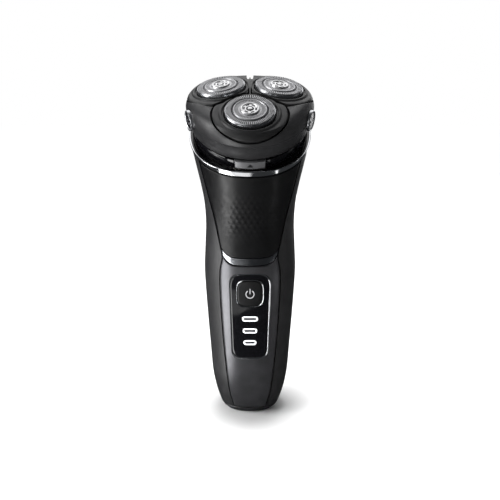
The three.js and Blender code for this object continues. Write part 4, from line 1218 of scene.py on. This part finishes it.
def build_collar():
    scale = 0.97
    y, z, knuckle = HINGE["y"], HINGE["z"], HINGE["knuckle"]
    step, rim = COLLAR["step"], COLLAR["rim"]
    outside = [(COLLAR["low"], -1.9), (2.4, -1.95), (step - 0.25, -2.1), (step, -2.35)]
    collar = make("collar", unit_block([(height, grow, scale) for height, grow in outside]))
    combine(collar, unit_block([(step - 0.2, -4.4, scale), (rim, -5.0, scale)]), "UNION")
    near, far = HINGE["half_lug"] + 0.5, HINGE["half_pin"] + 0.6
    for x0, x1 in ((-far, -near), (near, far)):
        ear = make("tool", block(x0, x1, y - 6, y, z - knuckle, z + 0.2))
        combine(ear, cross_rod(knuckle, x0, x1, y, z, 48), "UNION")
        combine(collar, ear, "UNION")
    combine(collar, unit_block([(COLLAR["web_top"], -6.0, scale), (rim + 0.5, -6.6, scale)]))
    combine(collar, block(-near, near, y - 2.2, 40, 0.6, 20))
    combine(collar, block(-7.1, 7.1, -40, -25.6, 1.2, 20))
    combine(collar, block(-3, 3, -30, -18, 2.0, 4.9))
    for k in range(3):
        combine(collar, rod(2.6, -3, 5, *head_centre(k)))
    half = HINGE["half_pin"] + 0.2
    combine(collar, cross_rod(HINGE["pin"] + 0.2, -half, half, y, z))
    tidy(collar)
    collar.data.transform(in_metres(UNIT))
    add_cut_piece(collar, 32, GLOSS_BLACK, "handle", "gloss_black", "hair_chamber")


def build_release():
    low, high, half_low, half_high, thick = 1.6, 5.2, 6.4, 6.7, 1.7
    scale, recess, middle_radius = 0.985, 0.5, 28.5
    s, t = np.meshgrid(np.linspace(-1, 1, 41), np.linspace(0, 1, 15))
    s = np.sign(s) * np.abs(s) ** 0.75
    z = low + (high - low) * t
    half = half_low + (half_high - half_low) * t
    x = s * half
    near = np.minimum((1 - np.abs(s)) * half, np.minimum(z - low, high - z))

    def surface(inset):
        turn = np.arcsin(x / middle_radius)
        r = (OUTLINE[0] + OUTLINE[1] * np.cos(3 * turn)) * scale - recess - inset
        return np.stack([x, UNIT_Y - np.sqrt(np.maximum(r**2 - x**2, 0)), z], 2)

    face = make("release_face", grid_body(surface(rounding(near, 0.35)), surface(thick)))
    combine(face, block(-2.4, 2.4, -28.4, -24.4, 2.5, 4.4), "UNION")
    face.data.transform(in_metres(UNIT))
    add_cut_piece(face, 45, RELEASE_GREY, "release_key", "plate_grey", "release_button")
    outer = UNIT_Y - (sum(OUTLINE) * scale - recess)
    mark = prism([(-1.35, 2.7), (1.35, 2.7), (0.0, 4.15)], outer - 0.1, outer + 0.6, "Y")
    add_piece("release_mark", mark, MARK_DARK, "release_key", "plate_grey", matrix=UNIT)


def dress_cad_nodes():
    """Materials for the CAD pieces that are shown as they are."""
    looks = {
        STEEL: ["hinge_pin", "trimmer_pin", "motor_shaft", "drive_motor", "tact_switch"],
        INNER_GREY: ["chassis", "gear_bulkhead", "retaining_frame", "retaining_wheel"],
        BRASS: ["inlet_pin_left", "inlet_pin_right"],
        ACETAL: ["centre_gear"],
        BOARD_GREEN: ["circuit_board"],
        CELL_BLUE: ["battery_cell"],
        GUARD_BRIGHT: ["trimmer_comb", "trimmer_blade"],
        GUARD_DARK: [f"cutter_{label}" for label in HEADS],
    }
    looks[STEEL] += ["housing_screw_left", "housing_screw_right"]
    looks[STEEL] += [f"drive_spindle_{label}" for label in HEADS]
    looks[ACETAL] += [f"drive_gear_{label}" for label in HEADS]
    for look, names in looks.items():
        for name in names:
            node = nodes[name]
            node.data.materials.clear()
            node.data.materials.append(look)
            finish_surface(node, 30)


def add_floor():
    verts = [(x, y, 0.0) for y in (-20, 40) for x in (-30, 30)]
    faces = [(0, 1, 3, 2)]
    mesh = bpy.data.meshes.new("floor")
    mesh.from_pydata(verts, [], faces)
    floor = bpy.data.objects.new("floor", mesh)
    scene.collection.objects.link(floor)
    mesh.shade_smooth()
    mesh.materials.append(floor_material())
    floor.location.z = -0.0002
    floor.visible_glossy = False


add_camera()
add_world()
add_lights()
add_floor()
build_front_housing()
build_rear_housing()
build_front_panels()
build_display()
build_neck_ring()
build_base()
build_back()
build_head_shell()
build_badges()
for number, head in enumerate(HEADS):
    build_pod(number, head)
    build_guard(number, head)
build_collar()
build_release()
dress_cad_nodes()
